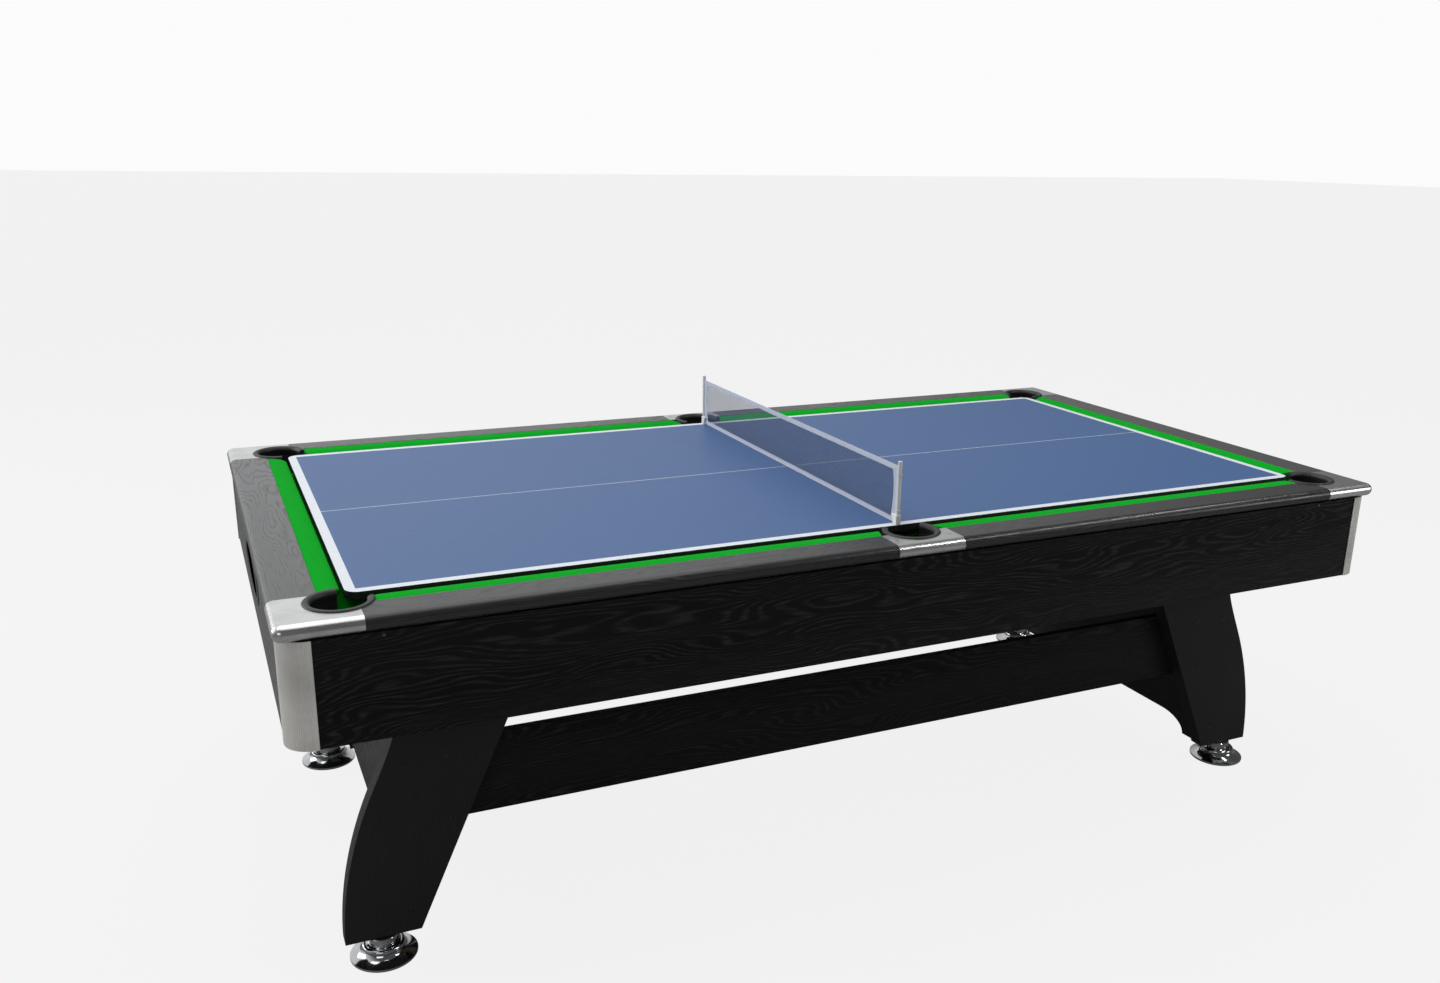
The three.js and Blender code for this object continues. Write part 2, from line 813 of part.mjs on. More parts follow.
function netPost() {
  const base = topSurface + gap;
  const footTop = base + postFootHeight;
  const foot = outline([
    [postOuterY, base],
    [postOuterY, footTop],
    [postFootInner, footTop],
    [postFootInner + postFootTaper, base],
  ]);
  return join(
    alongX(foot, -postFootWidth / 2, postFootWidth / 2),
    rod(0, postY, postRadius, base, base + postHeight, 16),
    rod(0, pegY, pegRadius, base - pegLength, footTop, 16),
  );
}

function net() {
  const low = topSurface + 2 * gap;
  const step = topSurface + gap + postFootHeight + gap;
  const reach = postY - postRadius - gap;
  const lowReach = postFootInner - gap;
  const half = [[lowReach, low], [lowReach, step], [reach, step], [reach, low + netHeight]];
  const shape = outline([...half, ...half.map(([y, z]) => [-y, z]).reverse()]);
  return alongX(shape, -netThickness / 2, netThickness / 2);
}

const netSet = section(table);
for (const [side, sy] of sides) {
  piece(netSet, `net_post_${side}`, reflected(netPost(), 1, sy), 'whitePlastic');
}
piece(netSet, 'net', net(), 'netting');

export default table;
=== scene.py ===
import math

import bmesh
import bpy
from mathutils import Euler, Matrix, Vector
from mathutils.geometry import interpolate_bezier


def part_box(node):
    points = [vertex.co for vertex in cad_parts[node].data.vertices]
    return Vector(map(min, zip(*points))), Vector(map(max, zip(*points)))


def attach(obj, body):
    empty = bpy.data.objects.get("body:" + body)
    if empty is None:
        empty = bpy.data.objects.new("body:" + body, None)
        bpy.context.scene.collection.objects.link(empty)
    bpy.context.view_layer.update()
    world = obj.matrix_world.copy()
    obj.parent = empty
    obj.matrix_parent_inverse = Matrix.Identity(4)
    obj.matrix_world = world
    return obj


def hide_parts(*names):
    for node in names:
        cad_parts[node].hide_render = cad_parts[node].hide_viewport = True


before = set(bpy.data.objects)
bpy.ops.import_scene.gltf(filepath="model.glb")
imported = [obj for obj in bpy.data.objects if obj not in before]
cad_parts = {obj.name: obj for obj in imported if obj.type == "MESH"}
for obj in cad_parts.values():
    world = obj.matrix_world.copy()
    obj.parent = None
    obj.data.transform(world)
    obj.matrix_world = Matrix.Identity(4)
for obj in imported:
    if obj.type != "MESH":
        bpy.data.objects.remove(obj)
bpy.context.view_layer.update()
print("frame loaded:", len(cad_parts), "nodes")

ends = {"left": -1, "right": 1}
sides = {"front": -1, "rear": 1}
corners = {f"{side}_{end}": (sx, sy) for end, sx in ends.items() for side, sy in sides.items()}
mm = 0.001


# Shading: a signal is a socket that can stand in a sum

class Signal:
    def __init__(self, finish, socket):
        self.finish = finish
        self.socket = socket

    def maths(self, operation, first, second=0.0):
        return self.finish.node("ShaderNodeMath", {"operation": operation}, {0: first, 1: second})

    def __add__(self, other):
        return self.maths("ADD", self, other)

    def __radd__(self, other):
        return self.maths("ADD", other, self)

    def __sub__(self, other):
        return self.maths("SUBTRACT", self, other)

    def __rsub__(self, other):
        return self.maths("SUBTRACT", other, self)

    def __mul__(self, other):
        return self.maths("MULTIPLY", self, other)

    def __rmul__(self, other):
        return self.maths("MULTIPLY", other, self)

    def __abs__(self):
        return self.maths("ABSOLUTE", self)

    def pingPong(self, reach):
        return self.maths("PINGPONG", self, reach)

    def orMore(self, other):
        return self.maths("MAXIMUM", self, other)

    def ramp(self, low, high, start=0.0, end=1.0):  # start below low, end above high, smooth between
        span = {"Value": self, "From Min": low, "From Max": high, "To Min": start, "To Max": end}
        return self.finish.node("ShaderNodeMapRange", {"interpolation_type": "SMOOTHSTEP"}, span)


class Finish:
    def __init__(self, name, **fixed):
        self.material = bpy.data.materials.new(name)
        self.material.use_nodes = True
        self.tree = self.material.node_tree
        self.shader = self.tree.nodes["Principled BSDF"]
        for key, value in fixed.items():
            self.shader.inputs[key.replace("_", " ")].default_value = value
        self.place = self.node("ShaderNodeTexCoord", output="Object")

    def node(self, kind, settings=None, inputs=None, output=0):
        made = self.tree.nodes.new(kind)
        for key, value in (settings or {}).items():
            setattr(made, key, value)
        for key, value in (inputs or {}).items():
            if isinstance(value, Signal):
                self.tree.links.new(value.socket, made.inputs[key])
            else:
                made.inputs[key].default_value = value
        return Signal(self, made.outputs[output])

    def noise(self, scale, detail=3.0, stretch=(1, 1, 1), rough=0.5):
        at = self.node("ShaderNodeMapping", None, {"Vector": self.place, "Scale": stretch})
        values = {"Vector": at, "Scale": scale, "Detail": detail, "Roughness": rough}
        return self.node("ShaderNodeTexNoise", None, values)

    def part(self, axis):
        return self.node("ShaderNodeSeparateXYZ", None, {"Vector": self.place}, axis)

    def mix(self, share, first, second):
        values = {0: share, 6: first, 7: second}
        return self.node("ShaderNodeMix", {"data_type": "RGBA"}, values, 2)

    def bump(self, height, distance, strength=1.0):
        values = {"Height": height, "Distance": distance, "Strength": strength}
        self.feed("Normal", self.node("ShaderNodeBump", None, values))

    def feed(self, key, signal):
        self.tree.links.new(signal.socket, self.shader.inputs[key])


def grey(value, warmth=0.0):
    return (value * (1 + warmth), value, value * (1 - warmth), 1)


laminateLook = {
    "figureLength": 1.5, "figureHeight": 8.0, "lineRate": 118.0, "wander": 34.0,
    "poreLength": 16.0, "poreRate": 420.0,
}


def laminate(name, along, ground, vein, shine, gloss, sink):
    look = laminateLook
    finish = Finish(name, Specular_IOR_Level=gloss)
    rates = [look["figureHeight"]] * 3
    rates[along] = look["figureLength"]
    wander = finish.noise(1.0, 2.5, rates)
    across = finish.part(2 if along != 2 else 0) + finish.part(1 if along != 1 else 0) * 0.35
    rings = (across * look["lineRate"] + wander * look["wander"]).pingPong(0.5)
    rates = [look["poreRate"]] * 3
    rates[along] = look["poreLength"]
    pores = finish.noise(1.0, 2.0, rates).ramp(0.44, 0.62)
    veins = rings.ramp(0.05, 0.3, 1.0, 0.0) * (pores * 0.75 + 0.25)
    broad = finish.noise(1.0, 2.0, [rate * 0.012 for rate in rates])
    tint = finish.mix(veins, ground, vein)
    cloudy = finish.mix(broad.ramp(0.3, 0.7) * 0.35, tint, vein)
    finish.feed("Base Color", cloudy)
    finish.feed("Roughness", veins * 0.22 + (broad * 0.08 + shine))
    finish.bump(1.0 - veins, sink, 0.5)
    return finish.material


def cloth(name, color, thread):
    finish = Finish(name, Sheen_Weight=0.02, Sheen_Roughness=0.4, Specular_IOR_Level=0.03)
    fibre = finish.noise(1150.0, 3.0, (1, 1, 1), 0.7)
    nap = finish.noise(95.0, 3.0, (1, 2.2, 1))
    deep = tuple(channel * 0.72 for channel in color[:3]) + (1,)
    shade = finish.mix(fibre.ramp(0.3, 0.7), deep, color)
    finish.feed("Base Color", finish.mix(nap.ramp(0.35, 0.75) * 0.3, shade, thread))
    finish.feed("Roughness", fibre * 0.1 + 0.86)
    finish.bump(fibre + nap * 0.4, 0.25 * mm, 0.55)
    return finish.material


def metal(name, color, shine, streak, stretch):
    finish = Finish(name, Metallic=1.0)
    brushed = finish.noise(1.0, 3.0, stretch, 0.6)
    smudge = finish.noise(22.0, 3.0)
    dull = tuple(channel * 0.86 for channel in color[:3]) + (1,)
    finish.feed("Base Color", finish.mix(smudge.ramp(0.35, 0.7), color, dull))
    finish.feed("Roughness", brushed * streak + (smudge * 0.06 + shine))
    finish.bump(brushed, 0.03 * mm, 0.25)
    return finish.material


def plastic(name, color, shine, grainRate, grainDepth, **fixed):
    finish = Finish(name, **fixed)
    grain = finish.noise(grainRate, 2.0)
    tone = finish.noise(9.0, 2.0)
    dull = tuple(channel * 0.8 for channel in color[:3]) + (1,)
    finish.feed("Base Color", finish.mix(tone.ramp(0.3, 0.7), color, dull))
    finish.feed("Roughness", grain * 0.16 + (tone * 0.06 + shine))
    finish.bump(grain, grainDepth, 0.5)
    return finish.material


def rawBoard(name):
    finish = Finish(name, Specular_IOR_Level=0.3)
    chips = finish.node("ShaderNodeTexVoronoi", None, {"Vector": finish.place, "Scale": 340.0}, "Color")
    dust = finish.noise(700.0, 2.0)
    tone = finish.noise(4.0, 2.0)
    light, dark = (0.46, 0.34, 0.22, 1), (0.27, 0.185, 0.11, 1)
    chip = finish.mix(0.22, finish.mix(dust, light, dark), chips)
    finish.feed("Base Color", finish.mix(tone.ramp(0.3, 0.7) * 0.3, chip, dark))
    finish.feed("Roughness", dust * 0.15 + 0.75)
    finish.bump(dust, 0.2 * mm, 0.5)
    return finish.material


playingLook = {"lineWidth": 17.5 * mm, "centreWidth": 3 * mm, "edge": 1.4 * mm, "blur": 0.35 * mm}


def playingPaint(name):
    look = playingLook
    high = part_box("tennis_top_right")[1]
    finish = Finish(name, Specular_IOR_Level=0.5)
    fleck = finish.noise(1600.0, 2.0)
    roller = finish.noise(60.0, 3.0)
    reach = (abs(finish.part(0)) - high.x).orMore(abs(finish.part(1)) - high.y)
    inside = -look["edge"] - look["lineWidth"]
    border = reach.ramp(inside - look["blur"], inside + look["blur"])
    half = look["centreWidth"] / 2
    middle = abs(finish.part(1)).ramp(half - look["blur"], half, 1.0, 0.0)
    lines = border.orMore(middle * 0.8)
    blue, deepBlue = (0.046, 0.118, 0.29, 1), (0.04, 0.104, 0.262, 1)
    white, offWhite = (0.78, 0.81, 0.86, 1), (0.7, 0.74, 0.8, 1)
    paint = finish.mix(fleck * 0.6 + roller * 0.4, blue, deepBlue)
    marking = finish.mix(roller, white, offWhite)
    finish.feed("Base Color", finish.mix(lines, paint, marking))
    finish.feed("Roughness", fleck * 0.1 + (roller * 0.06 + 0.4))
    finish.bump(fleck * 0.6 + roller + lines * 0.5, 0.05 * mm, 0.5)
    return finish.material


def weave(name, color, rate):
    finish = Finish(name, Sheen_Weight=0.2, Specular_IOR_Level=0.3)
    across = (finish.part(1) * rate).pingPong(0.5)
    upward = (finish.part(2) * rate).pingPong(0.5)
    threads = (across * 2.0) * (upward * 2.0)
    dirt = finish.noise(40.0, 2.0)
    # The colour goes to a darker copy at the edges of each thread, as painted shade in the hollows between threads,
    # and in patches where the dirt noise is low.
    shade = tuple(channel * 0.8 for channel in color[:3]) + (1,)
    finish.feed("Base Color", finish.mix(threads * 0.6 + dirt * 0.25, shade, color))
    finish.feed("Roughness", dirt * 0.12 + 0.78)
    finish.bump(threads, 0.2 * mm, 0.6)
    return finish.material


laminateX = laminate("laminate_lengthwise", 0, grey(0.0022), grey(0.03), 0.34, 0.12, 0.5 * mm)
laminateY = laminate("laminate_crosswise", 1, grey(0.0035), grey(0.02), 0.3, 0.62, 0.3 * mm)
# The upright boards use the aprons' black laminate with a far lighter ground and vein: painted light on the leg and
# end boards.
laminateZLit = laminate("laminate_upright_painted_light", 2, grey(0.022), grey(0.028), 0.42, 0.16, 0.2 * mm)
railLaminateX = laminate("rail_laminate_lengthwise", 0, grey(0.022), grey(0.034), 0.22, 0.45, 0.08 * mm)
# The end rails use the side rails' wrap with a lighter ground and vein: painted reflection of the bright room on the
# end rails' tops.
railLaminateYLit = laminate("rail_laminate_crosswise_painted_reflection", 1, grey(0.05), grey(0.056), 0.24, 0.6, 0.03 * mm)
greenCloth = cloth("green_billiard_cloth", (0.0008, 0.4, 0.018, 1), (0.002, 0.46, 0.027, 1))
capMetal = metal("satin_plated_metal", (0.66, 0.66, 0.65, 1), 0.17, 0.16, (14, 900, 900))
footChrome = metal("bright_chrome", (0.55, 0.56, 0.57, 1), 0.05, 0.05, (300, 300, 300))
trimSilver = plastic("silver_moulding", (0.86, 0.84, 0.8, 1), 0.24, 500.0, 0.04 * mm, Metallic=0.12)
blackRubber = plastic("black_rubber", (0.018, 0.018, 0.019, 1), 0.4, 900.0, 0.12 * mm)
blackPlastic = plastic("black_plastic", (0.012, 0.012, 0.012, 1), 0.34, 1400.0, 0.08 * mm)
edgeBand = plastic("black_edge_band", (0.01, 0.01, 0.011, 1), 0.36, 800.0, 0.06 * mm)
screwMetal = metal("dark_screw_metal", (0.2, 0.2, 0.21, 1), 0.3, 0.1, (400, 400, 400))
boltBlack = plastic("black_bolt_finish", (0.006, 0.006, 0.006, 1), 0.28, 900.0, 0.04 * mm)
whitePlastic = plastic("white_plastic", (0.82, 0.83, 0.83, 1), 0.3, 700.0, 0.05 * mm)
chipBoard = rawBoard("raw_board")
bluePaint = playingPaint("blue_playing_paint")
netTape = weave("net_tape", (0.66, 0.69, 0.8, 1), 900.0)
netCord = weave("net_cord", (0.06, 0.095, 0.21, 1), 1400.0)
print("finishes made")


# Making pieces

def cuboid(low, high, bm=None):
    bm = bm or bmesh.new()
    low, high = Vector(low), Vector(high)
    verts = bmesh.ops.create_cube(bm, size=1)["verts"]
    bmesh.ops.scale(bm, vec=high - low, verts=verts)
    bmesh.ops.translate(bm, vec=(low + high) / 2, verts=verts)
    return bm


# A plate whose outline lies across one axis: (y, z), (x, z) or (x, y) points.
def plate(outline, axis, low, high):
    bm = bmesh.new()
    spread = [(point[:axis] + (low,) + point[axis:]) for point in outline]
    face = bm.faces.new([bm.verts.new(point) for point in spread])
    grown = bmesh.ops.extrude_face_region(bm, geom=[face])["geom"]
    shift = Vector((0, 0, 0))
    shift[axis] = high - low
    bmesh.ops.translate(bm, vec=shift, verts=[v for v in grown if isinstance(v, bmesh.types.BMVert)])
    bmesh.ops.recalc_face_normals(bm, faces=bm.faces)
    return bm


def drum(x, y, radius, low, high, steps=72):
    bm = bmesh.new()
    verts = bmesh.ops.create_cone(
        bm, cap_ends=True, segments=steps, radius1=radius, radius2=radius, depth=high - low
    )["verts"]
    bmesh.ops.translate(bm, vec=(x, y, (low + high) / 2), verts=verts)
    return bm


# A profile of (radius, height) points turned about an upright axis.
def turned(profile, x=0.0, y=0.0, steps=64, closed=True):
    bm = bmesh.new()
    verts = [bm.verts.new((x + radius, y, height)) for radius, height in profile]
    pairs = list(zip(verts, verts[1:]))
    if closed:
        pairs.append((verts[-1], verts[0]))
    edges = [bm.edges.new(pair) for pair in pairs]
    bmesh.ops.spin(
        bm, geom=verts + edges, cent=(x, y, 0), axis=(0, 0, 1), dvec=(0, 0, 0),
        angle=2 * math.pi, steps=steps, use_merge=True, use_duplicate=False,
    )
    bmesh.ops.remove_doubles(bm, verts=bm.verts, dist=0.002 * mm)
    bmesh.ops.recalc_face_normals(bm, faces=bm.faces)
    return bm


def arc(cx, cy, radius, start, end, steps, squeeze=1.0):
    angles = [math.radians(start + (end - start) * i / steps) for i in range(steps + 1)]
    return [(cx + radius * math.cos(a), cy + radius * squeeze * math.sin(a)) for a in angles]


def bend(points, steps):
    return [(p.x, p.y) for p in interpolate_bezier(*[Vector(point) for point in points], steps)]


def easeEdges(bm, width, steps=2, above=35.0, chosen=None):
    edges = [
        e for e in bm.edges
        if len(e.link_faces) == 2
        and e.calc_face_angle() > math.radians(above)
        and (chosen is None or chosen(e))
    ]
    bmesh.ops.bevel(
        bm, geom=edges, offset=width, offset_type="OFFSET", affect="EDGES",
        segments=steps, profile=0.5, material=-1, clamp_overlap=True,
    )
    return bm


def looseObject(bm):
    mesh = bpy.data.meshes.new("scratch")
    bm.to_mesh(mesh)
    bm.free()
    made = bpy.data.objects.new("scratch", mesh)
    bpy.context.scene.collection.objects.link(made)
    return made


def discard(spare):
    mesh = spare.data
    bpy.data.objects.remove(spare)
    bpy.data.meshes.remove(mesh)


# The mesh that a loose object's modifiers make; the object itself goes.
def taken(spare):
    made = bmesh.new()
    made.from_object(spare, bpy.context.evaluated_depsgraph_get())
    discard(spare)
    return made


# The shape with a wall of its own, then cut by the tools, or kept inside them.
def carved(bm, *tools, wall=0.0, operation="DIFFERENCE"):
    whole = looseObject(bm)
    cutters = [looseObject(tool) for tool in tools]
    if wall:
        shell = whole.modifiers.new("wall", "SOLIDIFY")
        shell.thickness = wall
        shell.offset = -1
        shell.use_even_offset = True
    for cutter in cutters:
        step = whole.modifiers.new("carve", "BOOLEAN")
        step.operation = operation
        step.solver = "EXACT"
        step.object = cutter
    left = taken(whole)
    for cutter in cutters:
        discard(cutter)
    bmesh.ops.remove_doubles(left, verts=left.verts, dist=0.002 * mm)
    return left


def reflected(bm, sx, sy):
    bmesh.ops.scale(bm, vec=(sx, sy, 1), verts=bm.verts)
    if sx * sy < 0:
        bmesh.ops.reverse_faces(bm, faces=bm.faces)
    return bm


def joined(*parts):
    whole = bmesh.new()
    for part in parts:
        mesh = bpy.data.meshes.new("scratch")
        part.to_mesh(mesh)
        part.free()
        whole.from_mesh(mesh)
        bpy.data.meshes.remove(mesh)
    return whole


def settle(name, bm, finishes, body, stands=(), sharpAbove=38.0):
    mesh = bpy.data.meshes.new(name)
    bm.to_mesh(mesh)
    bm.free()
    for finish in finishes:
        mesh.materials.append(finish)
    mesh.shade_smooth()
    mesh.set_sharp_from_angle(angle=math.radians(sharpAbove))
    piece = bpy.data.objects.new(name, mesh)
    bpy.context.scene.collection.objects.link(piece)
    normals = piece.modifiers.new("even shading", "WEIGHTED_NORMAL")
    normals.keep_sharp = True
    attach(piece, body)
    if stands:
        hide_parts(*stands)
    return piece


def facesWhere(bm, test, index):
    for face in bm.faces:
        if test(face):
            face.material_index = index
    return bm


# Shared places, all in the quarter with positive X and Y

linerLow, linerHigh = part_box("pocket_liner_rear_right")
rimRadius = (linerHigh.x - linerLow.x) / 2
cornerPocket = ((linerLow.x + linerHigh.x) / 2, (linerLow.y + linerHigh.y) / 2)
sidePocket = (0.0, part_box("pocket_liner_rear_side")[1].y - rimRadius)
railLow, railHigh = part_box("rail_rear_right")
endRailLow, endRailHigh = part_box("rail_right_end")
tableTop = railHigh.z
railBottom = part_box("corner_cap_rear_right")[0].z
noseRadius = (tableTop - railBottom) / 2
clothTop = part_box("bed_cloth")[1].z
boreRadius = rimRadius + 0.3 * mm
noseSteps = 14


def bore(pocket, radius=boreRadius):
    return drum(*pocket, radius, clothTop - 60 * mm, tableTop + 20 * mm)


# Cabinet

apronLook = {
    "ease": 0.9 * mm, "postInner": 608.7 * mm, "trimLap": 4 * mm, "returnGap": 3.3 * mm, "cutSpare": 20 * mm,
}


def apronBoard(node):
    low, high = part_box(node)
    board = easeEdges(cuboid(low, high), apronLook["ease"])
    return facesWhere(board, lambda face: face.normal.z < -0.5, 1)


def sideAprons():
    for side in sides:
        node = f"apron_{side}"
        settle(f"{node}_board", apronBoard(node), [laminateX, chipBoard], "table", [node])


def endApron(end):
    node = f"apron_{end}_end"
    low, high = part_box(node)
    look = apronLook
    sx = ends[end]
    sideLow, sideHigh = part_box("apron_rear")
    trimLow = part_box("corner_trim_rear_right")[0]
    faceX = max(abs(low.x), abs(high.x))
    postX = min(abs(low.x), abs(high.x))
    innerX = faceX - (sideHigh.y - sideLow.y)
    endY = trimLow.y + look["trimLap"]
    board = cuboid((innerX, -endY, low.z), (faceX, endY, high.z))
    cuboid((postX, look["postInner"], low.z), (innerX, high.y, high.z), board)
    cuboid((postX, -high.y, low.z), (innerX, -look["postInner"], high.z), board)
    easeEdges(board, look["ease"])
    if end == "left":
        opening = oval(*returnOval(look["returnGap"]), innerX - look["cutSpare"], faceX + look["cutSpare"])
        board = carved(board, opening)
    facesWhere(board, lambda face: face.normal.z < -0.5 and face.calc_center_median().z < low.z + 5 * mm, 1)
    finishes = [laminateY, chipBoard]
    settle(f"{node}_board", reflected(board, sx, 1), finishes, "table", [node])


def returnOval(grow=0.0):
    low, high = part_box("ball_return_bezel")
    rimSide, rimTop = 20 * mm, 14 * mm
    centre = (low.z + high.z) / 2
    return high.y - rimSide + grow, (high.z - low.z) / 2 - rimTop + grow, centre


def oval(halfY, halfZ, centreZ, low, high, steps=96):
    outline = [(y, z) for y, z in arc(0, centreZ, 1, 0, 360, steps)[:-1]]
    stretched = [(y * halfY, centreZ + (z - centreZ) * halfZ) for y, z in outline]
    return plate(stretched, 0, low, high)


trimLook = {"flutes": 24, "fluteDepth": 0.8 * mm, "stepsPerFlute": 6, "wall": 1.6 * mm, "radius": 50 * mm}


def cornerTrim(name, sx, sy):
    node = f"corner_trim_{name}"
    low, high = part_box("corner_trim_rear_right")
    look = trimLook
    radius = look["radius"]
    centre = Vector((high.x - radius, high.y - radius, low.z))
    bm = bmesh.new()
    start = bm.verts.new((high.x, centre.y, low.z))
    count = look["flutes"] * look["stepsPerFlute"]
    bmesh.ops.spin(
        bm, geom=[start], cent=centre, axis=(0, 0, 1), dvec=(0, 0, 0),
        angle=math.pi / 2, steps=count, use_merge=False, use_duplicate=False,
    )
    for vert in bm.verts:
        outward = vert.co - centre
        turn = math.atan2(outward.y, outward.x) / (math.pi / 2) * look["flutes"]
        sunk = look["fluteDepth"] * (1 - abs(math.sin(math.pi * turn)))
        vert.co -= outward.normalized() * sunk
    first = bm.verts.new((high.x, low.y, low.z))
    last = bm.verts.new((low.x, high.y, low.z))
    bm.verts.ensure_lookup_table()
    loose = [v for v in bm.verts if len(v.link_edges) == 1]
    for flange in (first, last):
        bm.edges.new((flange, min(loose, key=lambda v: (v.co - flange.co).length)))
    grown = bmesh.ops.extrude_edge_only(bm, edges=bm.edges)["geom"]
    top = [v for v in grown if isinstance(v, bmesh.types.BMVert)]
    bmesh.ops.translate(bm, vec=(0, 0, high.z - low.z), verts=top)
    bmesh.ops.recalc_face_normals(bm, faces=bm.faces)
    if bm.faces[:][0].normal.dot(bm.faces[:][0].calc_center_median() - centre) < 0:
        bmesh.ops.reverse_faces(bm, faces=bm.faces)
    moulding = carved(bm, wall=look["wall"])
    made = reflected(moulding, sx, sy)
    settle(f"{node}_moulding", made, [trimSilver], "table", [node], 50)


sideAprons()
for end in ends:
    endApron(end)
for name, (sx, sy) in corners.items():
    cornerTrim(name, sx, sy)
print("cabinet made")


# Bed: the board and beams keep their shapes; the cloth is a sheet over the board

def keepShape(node, finish):
    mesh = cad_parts[node].data
    mesh.materials.clear()
    mesh.materials.append(finish)


def bedCloth():
    low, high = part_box("bed_cloth")
    notch = 35 * mm
    sheet = cuboid(low, high)
    holeRadius = rimRadius - 4.5 * mm
    tools = [bore((sx * cornerPocket[0], sy * cornerPocket[1]), holeRadius) for sx, sy in corners.values()]
    tools += [bore((0, sy * sidePocket[1]), holeRadius) for sy in sides.values()]
    for sx, sy in corners.values():
        post = [(high.x - notch, high.y - 44 * mm, low.z - mm), (high.x + mm, high.y + mm, high.z + mm)]
        tools.append(reflected(cuboid(*post), sx, sy))
    made = carved(sheet, *tools)
    piece = settle("bed_cloth_sheet", made, [greenCloth], "table", ["bed_cloth"])


bedCloth()
for node in ("playfield_bed", "bed_beam_left", "bed_beam_right"):
    keepShape(node, chipBoard)
for node in ("ball_tray", "ball_gutter_front", "ball_gutter_rear"):
    keepShape(node, blackPlastic)
print("bed made")


# Rails: a wrapped board with a round nose, and its foot on the bed

def railProfile(outer, inner, foot, low):
    nose = arc(outer - noseRadius, railBottom + noseRadius, noseRadius, 90, -90, noseSteps)
    return [(inner, tableTop), *nose, (foot, railBottom), (foot, low), (inner, low)]


railLook = {"endEase": 0.7 * mm}


def sideRail(name, sx, sy):
    node = f"rail_{name}"
    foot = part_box("apron_rear")[0].y - 0.3 * mm
    rail = plate(railProfile(railHigh.y, railLow.y, foot, railLow.z), 0, railLow.x, railHigh.x)
    easeEdges(rail, railLook["endEase"], 2, 60)
    rail = carved(rail, bore(cornerPocket))
    settle(f"{node}_wrapped", reflected(rail, sx, sy), [railLaminateX], "table", [node])


def endRail(end, sx):
    node = f"rail_{end}_end"
    foot = endRailHigh.x - 8 * mm - 18.6 * mm
    rail = plate(railProfile(endRailHigh.x, endRailLow.x, foot, railLow.z), 1, endRailLow.y, endRailHigh.y)
    easeEdges(rail, railLook["endEase"], 2, 60)
    rail = carved(rail, bore(cornerPocket), bore((cornerPocket[0], -cornerPocket[1])))
    settle(f"{node}_wrapped", reflected(rail, sx, 1), [railLaminateYLit], "table", [node])


for name, (sx, sy) in corners.items():
    sideRail(name, sx, sy)
for end, sx in ends.items():
    endRail(end, sx)
print("rails made")


# Cushions: cloth over a rubber nose, cut at a slant beside each pocket

cushionLook = {
    "crown": 1.2 * mm, "noseDrop": 6 * mm, "noseHeight": 8 * mm, "footWidth": 16.7 * mm,
    "noseEase": 3.2 * mm, "endEase": 2.4 * mm,
}


def cushionBar(back, tip, low, top, axis, start, end):
    look = cushionLook
    width = back - tip
    points = [
        (back, low), (back, top - look["crown"] * 0.3), (back - width * 0.3, top),
        (back - width * 0.68, top - look["crown"]), (tip, top - look["noseDrop"]),
        (tip, top - look["noseDrop"] - look["noseHeight"]), (back - look["footWidth"], low),
    ]
    bm = bmesh.new()
    spread = [(point[:axis] + (start,) + point[axis:]) for point in points]
    verts = [bm.verts.new(point) for point in spread]
    face = bm.faces.new(verts)
    bmesh.ops.bevel(
        bm, geom=[verts[4], verts[5]], offset=look["noseEase"], offset_type="OFFSET",
        affect="VERTICES", segments=5, profile=0.5, material=-1,
    )
    face = bm.faces[:][0]
    grown = bmesh.ops.extrude_face_region(bm, geom=[face])["geom"]
    shift = Vector((0, 0, 0))
    shift[axis] = end - start
    bmesh.ops.translate(bm, vec=shift, verts=[v for v in grown if isinstance(v, bmesh.types.BMVert)])
    bmesh.ops.recalc_face_normals(bm, faces=bm.faces)
    return bm


def slantCut(bm, first, second, keepToward):
    along = Vector((*second, 0)) - Vector((*first, 0))
    normal = Vector((along.y, -along.x, 0)).normalized()
    if normal.dot(Vector((*keepToward, 0)) - Vector((*first, 0))) > 0:
        normal.negate()
    geometry = bm.verts[:] + bm.edges[:] + bm.faces[:]
    bmesh.ops.bisect_plane(bm, geom=geometry, plane_co=(*first, 0), plane_no=normal, clear_outer=True)
    bmesh.ops.holes_fill(bm, edges=[e for e in bm.edges if e.is_boundary], sides=0)
    return bm


def softCushion(node, bm, sx, sy):
    ended = lambda e: any(abs(f.normal.z) < 0.02 and f.calc_area() < 0.004 and len(f.verts) > 8 for f in e.link_faces)
    easeEdges(bm, cushionLook["endEase"], 3, 40, ended)
    piece = settle(f"{node}_cloth", reflected(bm, sx, sy), [greenCloth], "table", [node], 45)


def sideCushion(name, sx, sy):
    node = f"cushion_{name}"
    low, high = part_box("cushion_rear_right")
    bar = cushionBar(high.y, low.y, low.z, high.z, 0, 0.02, cornerPocket[0])
    middle = ((low.x + high.x) / 2, (low.y + high.y) / 2)
    slantCut(bar, (low.x - 0.3 * mm, low.y), (low.x + 18 * mm, high.y + 0.4 * mm), middle)
    outer = cornerPocket[0] - 47 * mm
    slantCut(bar, (outer - 22 * mm, low.y - mm), (outer, high.y + 0.3 * mm), middle)
    softCushion(node, carved(bar, bore(cornerPocket), bore(sidePocket)), sx, sy)


